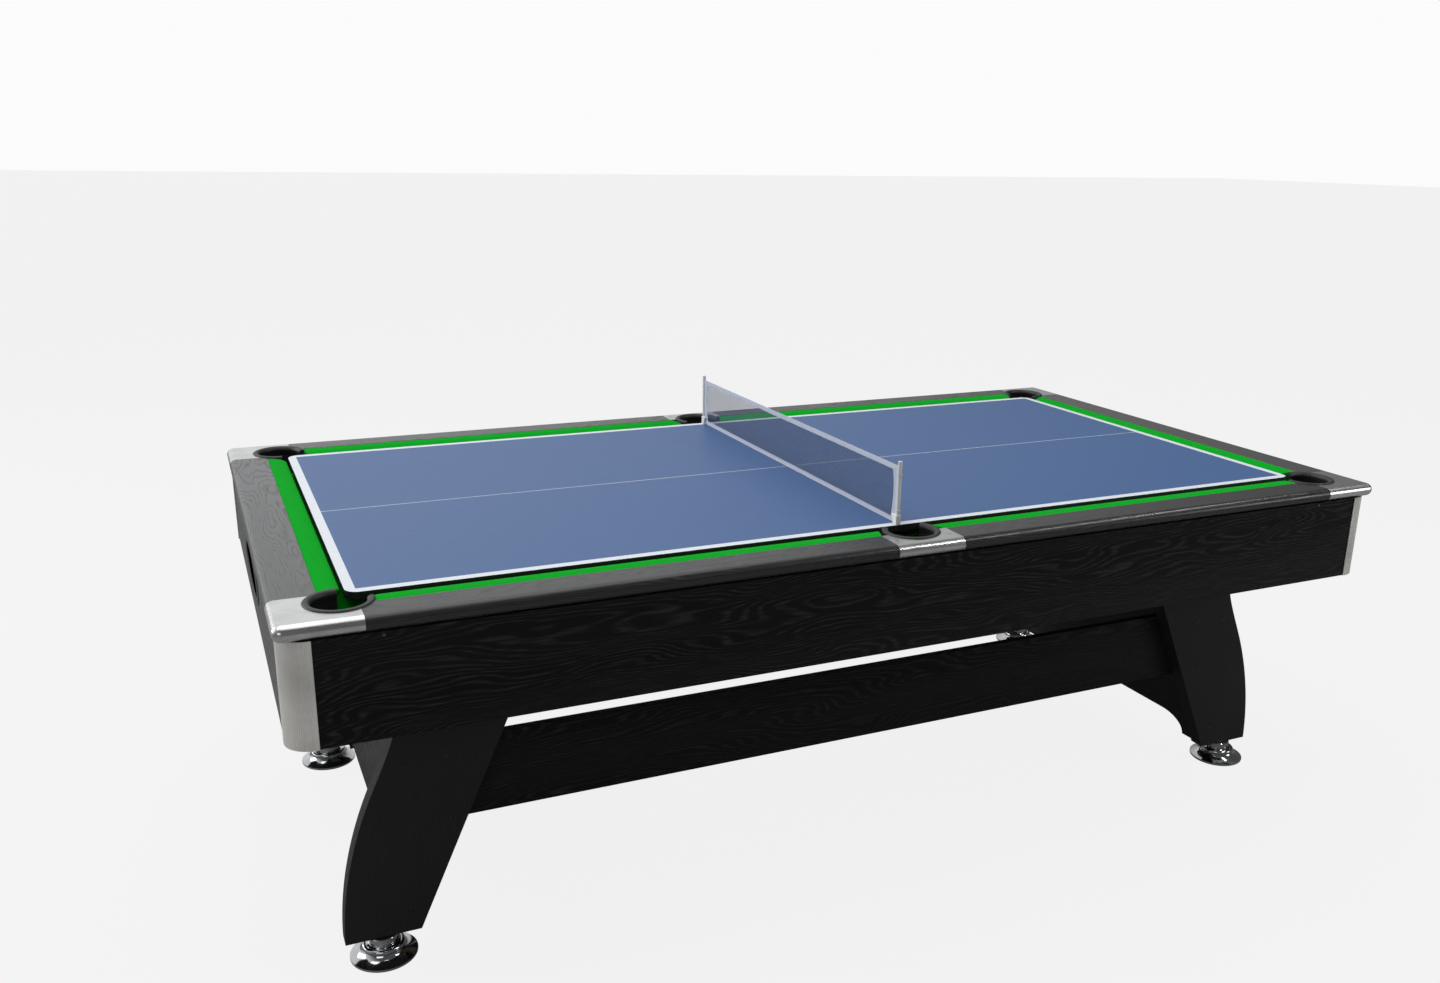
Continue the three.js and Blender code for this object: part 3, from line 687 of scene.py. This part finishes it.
def endCushion(end, sx):
    node = f"cushion_{end}_end"
    low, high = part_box("cushion_right_end")
    bar = cushionBar(high.x, low.x, low.z, high.z, 1, -cornerPocket[1], cornerPocket[1])
    for sy in (-1, 1):
        slantCut(bar, (high.x, sy * high.y), (low.x, sy * (high.y - 22 * mm)), ((low.x + high.x) / 2, 0))
    softCushion(node, bar, sx, 1)


for name, (sx, sy) in corners.items():
    sideCushion(name, sx, sy)
for end, sx in ends.items():
    endCushion(end, sx)
print("cushions made")


# Pocket caps: thin castings that carry the rails' nose round the corner and past the side pocket

capLook = {"wall": 3 * mm, "planRadius": 17 * mm, "turnSteps": 10, "screwRadius": 2.8 * mm}


def cornerCap(name, sx, sy):
    node = f"corner_cap_{name}"
    low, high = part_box("corner_cap_rear_right")
    pivot = Vector((high.x - capLook["planRadius"], high.y - capLook["planRadius"], high.z))
    bm = bmesh.new()
    nose = arc(high.x - noseRadius, low.z + noseRadius, noseRadius, -90, 90, noseSteps)
    verts = [bm.verts.new((x, low.y, z)) for x, z in nose]
    verts.append(bm.verts.new((pivot.x, low.y, pivot.z)))
    edges = [bm.edges.new(pair) for pair in zip(verts, verts[1:])]

    def newParts(geometry, kind):
        return [g for g in geometry if isinstance(g, kind)]

    grown = bmesh.ops.extrude_edge_only(bm, edges=edges)["geom"]
    run = newParts(grown, bmesh.types.BMVert)
    bmesh.ops.translate(bm, vec=(0, pivot.y - low.y, 0), verts=run)
    rim = [e for e in newParts(grown, bmesh.types.BMEdge) if all(v in run for v in e.verts)]
    swung = bmesh.ops.spin(
        bm, geom=run + rim, cent=pivot, axis=(0, 0, 1), dvec=(0, 0, 0),
        angle=math.pi / 2, steps=capLook["turnSteps"], use_merge=False, use_duplicate=False,
    )["geom_last"]
    rim = newParts(swung, bmesh.types.BMEdge)
    grown = bmesh.ops.extrude_edge_only(bm, edges=rim)["geom"]
    run = newParts(grown, bmesh.types.BMVert)
    bmesh.ops.translate(bm, vec=(low.x - pivot.x, 0, 0), verts=run)
    square = [(pivot.x, low.y), (pivot.x, pivot.y), (low.x, pivot.y), (low.x, low.y)]
    bm.faces.new([bm.verts.new((x, y, high.z)) for x, y in square])
    bmesh.ops.remove_doubles(bm, verts=bm.verts, dist=0.01 * mm)
    bmesh.ops.dissolve_degenerate(bm, edges=bm.edges, dist=0.01 * mm)
    bmesh.ops.recalc_face_normals(bm, faces=bm.faces)
    if max(bm.faces, key=lambda f: f.calc_area() if f.normal.z ** 2 > 0.9 else 0).normal.z < 0:
        bmesh.ops.reverse_faces(bm, faces=bm.faces)
    cap = carved(bm, bore(cornerPocket), wall=capLook["wall"])
    settle(f"{node}_casting", reflected(cap, sx, sy), [capMetal], "table", [node], 30)


def sideCap(side, sy):
    node = f"side_cap_{side}"
    low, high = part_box("side_cap_rear")
    bm = bmesh.new()
    nose = arc(high.y - noseRadius, low.z + noseRadius, noseRadius, -90, 90, noseSteps)
    verts = [bm.verts.new((low.x, y, z)) for y, z in nose]
    verts.append(bm.verts.new((low.x, low.y, high.z)))
    edges = [bm.edges.new(pair) for pair in zip(verts, verts[1:])]
    grown = bmesh.ops.extrude_edge_only(bm, edges=edges)["geom"]
    run = [g for g in grown if isinstance(g, bmesh.types.BMVert)]
    bmesh.ops.translate(bm, vec=(high.x - low.x, 0, 0), verts=run)
    bmesh.ops.recalc_face_normals(bm, faces=bm.faces)
    if max(bm.faces, key=lambda f: f.calc_area()).normal.z < 0:
        bmesh.ops.reverse_faces(bm, faces=bm.faces)
    cap = carved(bm, bore(sidePocket), wall=capLook["wall"])
    settle(f"{node}_casting", reflected(cap, 1, sy), [capMetal], "table", [node], 30)


for name, (sx, sy) in corners.items():
    cornerCap(name, sx, sy)
for side, sy in sides.items():
    sideCap(side, sy)
print("caps made")


# Pocket liners: a fat rim on a round wall, open towards the bed

linerLook = {
    "roll": 4 * mm, "wallOut": 5.5 * mm, "wallIn": 9 * mm, "rimDepth": 14 * mm, "lip": 5 * mm,
    "mouthEase": 1.6 * mm, "cornerMouth": 42, "sides": 96,
}


def liner(pocket, direction, halfAngle):
    look = linerLook
    wallOuter = rimRadius - look["wallOut"]
    wallInner = rimRadius - look["wallIn"]
    crest = linerHigh.z
    shelf = tableTop - look["rimDepth"]
    outside = arc(rimRadius - look["roll"], crest - look["roll"], look["roll"], 0, 90, 7)
    inside = bend([
        (wallInner + 2 * mm, crest), (wallInner - 2 * mm, crest - 0.4 * mm),
        (wallInner - look["lip"], crest - 4 * mm), (wallInner - look["lip"], crest - 9 * mm),
    ], 9)
    profile = [
        (wallInner, linerLow.z), (wallOuter, linerLow.z), (wallOuter, shelf), (rimRadius, shelf),
        *outside, *inside, (wallInner - mm, shelf - 2 * mm), (wallInner, shelf - 6 * mm),
    ]
    ring = turned(profile, *pocket, look["sides"])
    reach = 3 * rimRadius
    mouth = [pocket] + [
        (pocket[0] + reach * math.cos(math.radians(direction + share * halfAngle)),
         pocket[1] + reach * math.sin(math.radians(direction + share * halfAngle)))
        for share in (-1, -0.5, 0.5, 1)
    ]
    ring = carved(ring, plate(mouth, 2, clothTop - 1.5 * mm, linerHigh.z + 5 * mm))
    return easeEdges(ring, look["mouthEase"], 3, 60, lambda e: e.calc_length() < 60 * mm)


def pocketLiners():
    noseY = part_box("cushion_rear_right")[0].y
    sideMouth = math.degrees(math.acos((sidePocket[1] - noseY) / rimRadius))
    for name, (sx, sy) in corners.items():
        node = f"pocket_liner_{name}"
        made = reflected(liner(cornerPocket, 225, linerLook["cornerMouth"]), sx, sy)
        settle(f"{node}_moulding", made, [blackRubber], "table", [node])
    for side, sy in sides.items():
        node = f"pocket_liner_{side}_side"
        made = reflected(liner(sidePocket, 270, sideMouth), 1, sy)
        settle(f"{node}_moulding", made, [blackRubber], "table", [node])


pocketLiners()
print("pocket liners made")


# Ball return bezel: an oval lip that turns into a sleeve through the end board

bezelLook = {"steps": 96, "lip": 2.5 * mm}


def bezel():
    low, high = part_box("ball_return_bezel")
    halfY, halfZ, centre = returnOval()
    rim = high.y - halfY
    face = low.x + bezelLook["lip"]
    rings = [
        (halfY + rim, face), (halfY + rim - 0.6 * mm, face - 1.1 * mm), (halfY + rim * 0.6, low.x + 0.2 * mm),
        (halfY + rim * 0.25, low.x), (halfY + 1.0 * mm, low.x + 0.7 * mm), (halfY, low.x + 2.4 * mm),
        (halfY, high.x), (halfY + 3 * mm, high.x), (halfY + 3 * mm, face), (halfY + rim, face),
    ]
    bm = bmesh.new()
    loops = []
    for reachY, x in rings:
        grow = reachY - halfY
        reachZ = halfZ + grow * (high.z - centre - halfZ) / rim
        edges = bmesh.ops.create_circle(bm, cap_ends=False, radius=1, segments=bezelLook["steps"])["verts"]
        for vert in edges:
            vert.co = (x, vert.co.x * reachY, centre + vert.co.y * reachZ)
        loops.append([e for e in bm.edges if all(v in edges for v in e.verts)])
    for first, second in zip(loops, loops[1:]):
        bmesh.ops.bridge_loops(bm, edges=first + second)
    bmesh.ops.remove_doubles(bm, verts=bm.verts, dist=0.005 * mm)
    bmesh.ops.recalc_face_normals(bm, faces=bm.faces)
    settle("ball_return_bezel_moulding", bm, [blackPlastic], "table", ["ball_return_bezel"])


bezel()
print("ball return made")


# Legs

legLook = {
    "footWidth": 147.5 * mm, "lean": 0.4474, "waist": 131.5 * mm, "shoulder": 68.5 * mm,
    "shoulderHeight": 360 * mm, "shoulderSwing": 81 * mm, "lowerSwing": 97 * mm, "curveSteps": 24,
    "ease": 1.2 * mm,
    "archRise": 42 * mm, "archRun": 84 * mm, "archFoot": 44.7 * mm, "boltRadius": 6.8 * mm,
}


def legPanel(name, sx, sy):
    look = legLook
    node = f"leg_panel_{name}"
    low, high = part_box("leg_panel_rear_right")
    shoulder = high.x - look["shoulder"]
    waist = high.x - look["waist"]
    innerFoot = high.x - look["footWidth"]
    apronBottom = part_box("apron_rear")[0].z
    lower = bend([
        (high.x, low.z), (high.x, low.z + (look["shoulderHeight"] - low.z) / 3),
        (shoulder + look["lean"] * look["lowerSwing"], look["shoulderHeight"] - look["lowerSwing"]),
        (shoulder, look["shoulderHeight"]),
    ], look["curveSteps"])
    upper = bend([
        (shoulder, look["shoulderHeight"]),
        (shoulder - look["lean"] * look["shoulderSwing"], look["shoulderHeight"] + look["shoulderSwing"]),
        (waist, apronBottom - look["shoulderSwing"]), (waist, apronBottom),
    ], look["curveSteps"])
    outline = [(innerFoot, low.z), *lower, *upper[1:], (waist, high.z), (low.x, high.z)]
    panel = easeEdges(plate(outline, 1, low.y, high.y), look["ease"])
    settle(f"{node}_board", reflected(panel, sx, sy), [laminateZLit], "table", [node])


def endPanel(end, sx):
    look = legLook
    node = f"leg_end_panel_{end}"
    low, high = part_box("leg_end_panel_right")
    archY = high.y - look["archFoot"]
    centre = archY - look["archRun"]
    squeeze = look["archRise"] / look["archRun"]
    arch = arc(centre, low.z, look["archRun"], 0, 90, 12, squeeze)
    outline = [(high.y, low.z), *arch, *[(-y, z) for y, z in reversed(arch)], (-high.y, low.z)]
    outline += [(-high.y, high.z), (high.y, high.z)]
    panel = easeEdges(plate(outline, 0, low.x, high.x), look["ease"] * 0.7)
    settle(f"{node}_board", reflected(panel, sx, 1), [laminateZLit], "table", [node])


def stretcher(side):
    node = f"stretcher_{side}"
    board = easeEdges(cuboid(*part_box(node)), legLook["ease"] * 0.7)
    settle(f"{node}_board", board, [laminateX], "table", [node])


footLook = {
    "edge": 3 * mm, "steps": 72, "stem": 6 * mm, "collar": 29.5 * mm, "collarTop": 28 * mm, "collarGap": 0.3 * mm,
}


def foot(name, sx, sy):
    look = footLook
    node = f"levelling_foot_{name}"
    low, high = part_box("levelling_foot_rear_right")
    x, y = (low.x + high.x) / 2, (low.y + high.y) / 2
    radius = (high.x - low.x) / 2
    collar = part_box("leg_panel_rear_right")[0].z - look["collarGap"]
    flare = bend([
        (radius, 6 * mm), (radius - 14 * mm, 9 * mm),
        (radius - 21 * mm, 13 * mm), (radius - 25 * mm, 20 * mm),
    ], 10)
    roll = arc(radius - 29 * mm, 25.5 * mm, 5.5 * mm, -30, 120, 10)
    profile = [
        (0.0, 0.0), (radius - look["edge"], 0.0),
        *arc(radius - look["edge"], look["edge"], look["edge"], -90, 0, 5)[1:],
        *flare, *roll, (30 * mm, 31.5 * mm), (look["collar"], 33 * mm),
        (look["collar"], collar - 1.5 * mm), (look["collarTop"], collar),
        (look["stem"], collar), (look["stem"], high.z), (0.0, high.z),
    ]
    made = reflected(turned(profile, x, y, look["steps"], closed=False), sx, sy)
    settle(f"{node}_spinning", made, [footChrome], f"foot_{name}", [node], 32)


def camBolts(name, sx, sy):
    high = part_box("leg_panel_rear_right")[1]
    endLow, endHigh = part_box("leg_end_panel_right")
    boltX = (endLow.x + endHigh.x) / 2
    places = [(boltX, 409 * mm), (boltX, 95 * mm), (boltX - 89 * mm, 416 * mm), (boltX - 89 * mm, 280 * mm)]
    radius = legLook["boltRadius"]
    profile = [
        (0.0, -1.2 * mm), (3.0 * mm, -1.2 * mm), (3.4 * mm, 0.7 * mm), (4.4 * mm, 1.0 * mm),
        (radius - 0.5 * mm, 0.6 * mm), (radius, 0.0), (radius, -2 * mm), (0.0, -2 * mm),
    ]
    heads = []
    facingOut = Euler((-math.pi / 2, 0, 0)).to_matrix()
    for boltPlaceX, boltPlaceZ in places:
        head = turned(profile, 0, 0, 24, closed=False)
        bmesh.ops.rotate(head, cent=(0, 0, 0), matrix=facingOut, verts=head.verts)
        bmesh.ops.translate(head, vec=(boltPlaceX, high.y, boltPlaceZ), verts=head.verts)
        heads.append(head)
    settle(f"cam_bolts_{name}", reflected(joined(*heads), sx, sy), [boltBlack], "table")


for name, (sx, sy) in corners.items():
    legPanel(name, sx, sy)
    foot(name, sx, sy)
    camBolts(name, sx, sy)
for end, sx in ends.items():
    endPanel(end, sx)
for side in sides:
    stretcher(side)
print("legs made")


# Small screws: under the rail near each corner, and two in each side cap

def screwHead(place, turn, radius, sunk):
    profile = [
        (0.0, -0.8 * mm), (radius * 0.45, -0.8 * mm), (radius * 0.5, sunk), (radius * 0.9, sunk * 0.6),
        (radius, 0.0), (radius, -1.2 * mm), (0.0, -1.2 * mm),
    ]
    head = turned(profile, 0, 0, 20, closed=False)
    bmesh.ops.rotate(head, cent=(0, 0, 0), matrix=Euler(turn).to_matrix(), verts=head.verts)
    bmesh.ops.translate(head, vec=place, verts=head.verts)
    return head


def screws():
    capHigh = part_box("side_cap_rear")[1]
    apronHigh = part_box("apron_rear")[1]
    for side, sy in sides.items():
        heads = [
            screwHead((x, capHigh.y - 38 * mm, capHigh.z), (0, 0, 0), capLook["screwRadius"], 0.2 * mm)
            for x in (-62 * mm, 62 * mm)
        ]
        heads += [
            screwHead((x, apronHigh.y, apronHigh.z - 7 * mm), (-math.pi / 2, 0, 0), 2.6 * mm, 0.5 * mm)
            for x in (-1080 * mm, 1080 * mm)
        ]
        settle(f"screws_{side}", reflected(joined(*heads), 1, sy), [screwMetal], "table")


screws()


# Table-tennis top

topLook = {"cornerRadius": 25 * mm, "ease": 0.8 * mm, "pegHole": 3.8 * mm, "pegPlace": 10 * mm}


def topHalf(end, sx):
    node = f"tennis_top_{end}"
    low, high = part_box("tennis_top_right")
    radius = topLook["cornerRadius"]
    outline = [(low.x, low.y), *arc(high.x - radius, low.y + radius, radius, -90, 0, 12)]
    outline += [*arc(high.x - radius, high.y - radius, radius, 0, 90, 12), (low.x, high.y)]
    half = easeEdges(plate(outline, 2, low.z, high.z), topLook["ease"])
    pegY = high.y - topLook["pegPlace"]
    holes = [drum(0, sy * pegY, topLook["pegHole"], low.z - mm, high.z + mm, 32) for sy in (-1, 1)]
    half = carved(half, *holes)
    facesWhere(half, lambda face: abs(face.normal.z) < 0.5, 1)
    facesWhere(half, lambda face: face.normal.z < -0.5, 2)
    finishes = [bluePaint, edgeBand, chipBoard]
    settle(f"{node}_board", reflected(half, sx, 1), finishes, "tennis_top", [node])


def batten(side):
    node = f"top_batten_{side}"
    bar = easeEdges(cuboid(*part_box(node)), 1.0 * mm)
    settle(f"{node}_bar", bar, [chipBoard], "tennis_top", [node])


for end, sx in ends.items():
    topHalf(end, sx)
for side in sides:
    batten(side)
print("table-tennis top made")


# Net: posts with pegs, netting, and tapes

netLook = {
    "pitch": 4.2 * mm, "cord": 0.42 * mm, "topTape": 12 * mm, "bottomTape": 11 * mm,
    "tapeThickness": 1.1 * mm, "hemTop": 23 * mm, "hemMiddle": 14 * mm, "hemBottom": 22 * mm, "solid": 0.62,
    "postRadius": 4.7 * mm, "footHeight": 20 * mm, "footTaper": 8 * mm, "footGap": 0.3 * mm,
    "pegRadius": 3.5 * mm, "pegInset": 9 * mm, "tieRadius": 0.8 * mm,
}
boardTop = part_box("tennis_top_right")[1].z
netLow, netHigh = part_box("net")


def netPost(side, sy):
    look = netLook
    node = f"net_post_{side}"
    low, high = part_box("net_post_rear")
    radius = look["postRadius"]
    base = boardTop + look["footGap"]
    postY = high.y - radius
    footTop = base + look["footHeight"]
    outline = [(high.y, base), (high.y, footTop), (low.y, footTop), (low.y + look["footTaper"], base)]
    foot = easeEdges(plate(outline, 0, low.x, high.x), 1.3 * mm, 3)
    dome = arc(radius - 2 * mm, high.z - 2 * mm, 2 * mm, 0, 90, 4)
    rodProfile = [(0.0, base + mm), (radius - 0.4 * mm, base + mm), *dome, (0.0, high.z)]
    rod = turned(rodProfile, 0, postY, 40, False)
    peg = turned([
        (0.0, low.z), (look["pegRadius"] - mm, low.z), (look["pegRadius"], low.z + 1.5 * mm),
        (look["pegRadius"], base + mm), (0.0, base + mm),
    ], 0, high.y - look["pegInset"], 32, False)
    ties = []
    for height in (footTop + 9 * mm, netHigh.z - 18 * mm):
        section = arc(radius + 0.7 * mm, height, look["tieRadius"], 0, 360, 10)[:-1]
        ties.append(turned(section, 0, postY, 32))
    bands = facesWhere(joined(*ties), lambda face: True, 1)
    post = reflected(joined(foot, rod, peg, bands), 1, sy)
    settle(f"{node}_moulding", post, [whitePlastic, netTape], "net_set", [node])


def cord(low, high, axis, radius):
    bm = bmesh.new()
    length = high[axis] - low[axis]
    verts = bmesh.ops.create_cone(
        bm, cap_ends=True, segments=6, radius1=radius, radius2=radius, depth=length
    )["verts"]
    if axis == 1:
        bmesh.ops.rotate(bm, cent=(0, 0, 0), matrix=Euler((math.pi / 2, 0, 0)).to_matrix(), verts=verts)
    bmesh.ops.translate(bm, vec=(Vector(low) + Vector(high)) / 2, verts=verts)
    return bm


def netCords():
    look = netLook
    reach = netHigh.y - look["hemMiddle"] * 0.6
    bottom = netLow.z + look["bottomTape"] - mm
    top = netHigh.z - look["topTape"] + mm
    columns = round(2 * reach / look["pitch"])
    rows = round((top - bottom) / look["pitch"])
    offset = look["cord"] * 0.6
    cords = []
    for i in range(columns + 1):
        y = reach * (2 * i / columns - 1)
        cords.append(cord((offset, y, bottom), (offset, y, top), 2, look["cord"]))
    for i in range(rows + 1):
        z = bottom + (top - bottom) * i / rows
        cords.append(cord((-offset, -reach, z), (-offset, reach, z), 1, look["cord"]))
    return joined(*cords)


def netTapes():
    look = netLook
    half = look["tapeThickness"] / 2
    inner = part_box("net_post_rear")[0].y - 0.5 * mm
    footTop = boardTop + look["footHeight"] + mm
    tapeLow = netHigh.z - look["topTape"]
    bands = [
        cuboid((-half, -netHigh.y, tapeLow), (half, netHigh.y, netHigh.z)),
        cuboid((-half, -inner, netLow.z), (half, inner, netLow.z + look["bottomTape"])),
    ]
    middle = (footTop + tapeLow) / 2
    bowed = bend([
        (netHigh.y - look["hemTop"], tapeLow + mm), (netHigh.y - look["hemMiddle"], middle + 22 * mm),
        (netHigh.y - look["hemMiddle"], middle - 12 * mm), (netHigh.y - look["hemBottom"], footTop - 8 * mm),
    ], 16)
    outline = [(netHigh.y, tapeLow + mm), *bowed, (inner - 10 * mm, netLow.z + look["bottomTape"] - mm)]
    outline += [(inner, netLow.z + look["bottomTape"] - mm), (inner, footTop), (netHigh.y, footTop)]
    for sy in (-1, 1):
        bands.append(reflected(plate(outline, 0, -half, half), 1, sy))
    return easeEdges(joined(*bands), 0.35 * mm, 2, 60)


def net():
    tapes = facesWhere(netTapes(), lambda face: True, 1)
    whole = joined(netCords(), tapes)
    piece = settle("net_netting", whole, [netCord, netTape], "net_set", ["net"])


for side, sy in sides.items():
    netPost(side, sy)
net()
print("net made")


# Floor, light and camera

floorLook = {"color": (0.34, 0.34, 0.34, 1), "lift": 0.86, "size": 60.0}


# The camera sees the floor lifted towards white, so that it meets the backdrop.
def floor():
    finish = Finish("pale_floor", Specular_IOR_Level=0.1)
    cloud = finish.noise(0.8, 2.0)
    dim = tuple(channel * 0.98 for channel in floorLook["color"][:3]) + (1,)
    finish.feed("Base Color", finish.mix(cloud, floorLook["color"], dim))
    finish.feed("Roughness", cloud * 0.05 + 0.8)
    glow = finish.node("ShaderNodeEmission", None, {"Color": (1, 1, 1, 1), "Strength": 1.0})
    seen = finish.node("ShaderNodeLightPath", None, None, "Is Camera Ray") * floorLook["lift"]
    body = Signal(finish, finish.shader.outputs[0])
    mixed = finish.node("ShaderNodeMixShader", None, {0: seen, 1: body, 2: glow})
    finish.tree.links.new(mixed.socket, finish.tree.nodes["Material Output"].inputs["Surface"])
    bm = bmesh.new()
    bmesh.ops.create_grid(bm, x_segments=2, y_segments=2, size=floorLook["size"])
    mesh = bpy.data.meshes.new("studio_floor")
    bm.to_mesh(mesh)
    bm.free()
    mesh.materials.append(finish.material)
    made = bpy.data.objects.new("studio_floor", mesh)
    bpy.context.scene.collection.objects.link(made)


def softBox(name, place, aim, width, height, power):
    data = bpy.data.lights.new(name, "AREA")
    data.shape = "RECTANGLE"
    data.size = width
    data.size_y = height
    data.energy = power
    lamp = bpy.data.objects.new(name, data)
    lamp.location = place
    lamp.rotation_euler = (Vector(aim) - Vector(place)).to_track_quat("-Z", "Y").to_euler()
    bpy.context.scene.collection.objects.link(lamp)


roomLook = {"brightSide": (-0.45, 0.8, 0.4), "dim": 0.1, "bright": 0.95, "from": 0.1, "to": 0.95}


# White to the camera; as light, bright behind on the left and dim towards the front and right.
def surroundings():
    world = bpy.data.worlds.new("studio")
    bpy.context.scene.world = world
    world.use_nodes = True
    tree = world.node_tree

    def add(kind, settings, **inputs):
        made = tree.nodes.new(kind)
        for key, value in settings.items():
            setattr(made, key, value)
        for key, value in inputs.items():
            made.inputs[key.replace("_", " ")].default_value = value
        return made

    direction = add("ShaderNodeTexCoord", {})
    facing = add("ShaderNodeVectorMath", {"operation": "DOT_PRODUCT"})
    facing.inputs[1].default_value = Vector(roomLook["brightSide"]).normalized()
    level = add("ShaderNodeMapRange", {"interpolation_type": "SMOOTHSTEP"}, From_Min=roomLook["from"],
                From_Max=roomLook["to"], To_Min=roomLook["dim"], To_Max=roomLook["bright"])
    shown = add("ShaderNodeBackground", {}, Color=(0.97, 0.97, 0.97, 1))
    path = add("ShaderNodeLightPath", {})
    pick = add("ShaderNodeMixShader", {})
    shade = tree.nodes["Background"]
    shade.inputs["Color"].default_value = (0.97, 0.985, 1, 1)
    tree.links.new(direction.outputs["Generated"], facing.inputs[0])
    tree.links.new(facing.outputs["Value"], level.inputs["Value"])
    tree.links.new(level.outputs[0], shade.inputs["Strength"])
    tree.links.new(path.outputs["Is Camera Ray"], pick.inputs["Fac"])
    tree.links.new(shade.outputs[0], pick.inputs[1])
    tree.links.new(shown.outputs[0], pick.inputs[2])
    tree.links.new(pick.outputs[0], tree.nodes["World Output"].inputs["Surface"])


def camera():
    data = bpy.data.cameras.new("camera")
    data.lens = 31.36
    data.sensor_width = 36
    data.shift_x = -0.0218
    data.shift_y = 0.0171
    data.clip_end = 200
    made = bpy.data.objects.new("camera", data)
    made.location = (-1.3495, -2.7047, 1.5623)
    made.rotation_euler = (1.2827, -0.0167, -0.4299)
    bpy.context.scene.collection.objects.link(made)
    bpy.context.scene.camera = made


floor()
surroundings()
softBox("overhead", (-0.9, 0.4, 4.2), (-0.3, 0, 0.8), 4.5, 3.5, 78)
softBox("rear_left", (-5.2, 3.2, 2.6), (-0.4, 0, 0.8), 4.0, 2.4, 110)
softBox("front", (-3.4, -4.2, 2.4), (-1.0, -0.6, 0.7), 2.6, 1.6, 22)
softBox("front_right", (4.6, -3.4, 1.7), (0.9, -0.67, 0.6), 1.6, 1.2, 34)
softBox("nose_strip", (2.3, -1.5, 3.0), (0.6, -0.66, 0.79), 2.6, 0.2, 26)
camera()
bpy.context.scene.view_settings.view_transform = "Standard"
print("stage set")
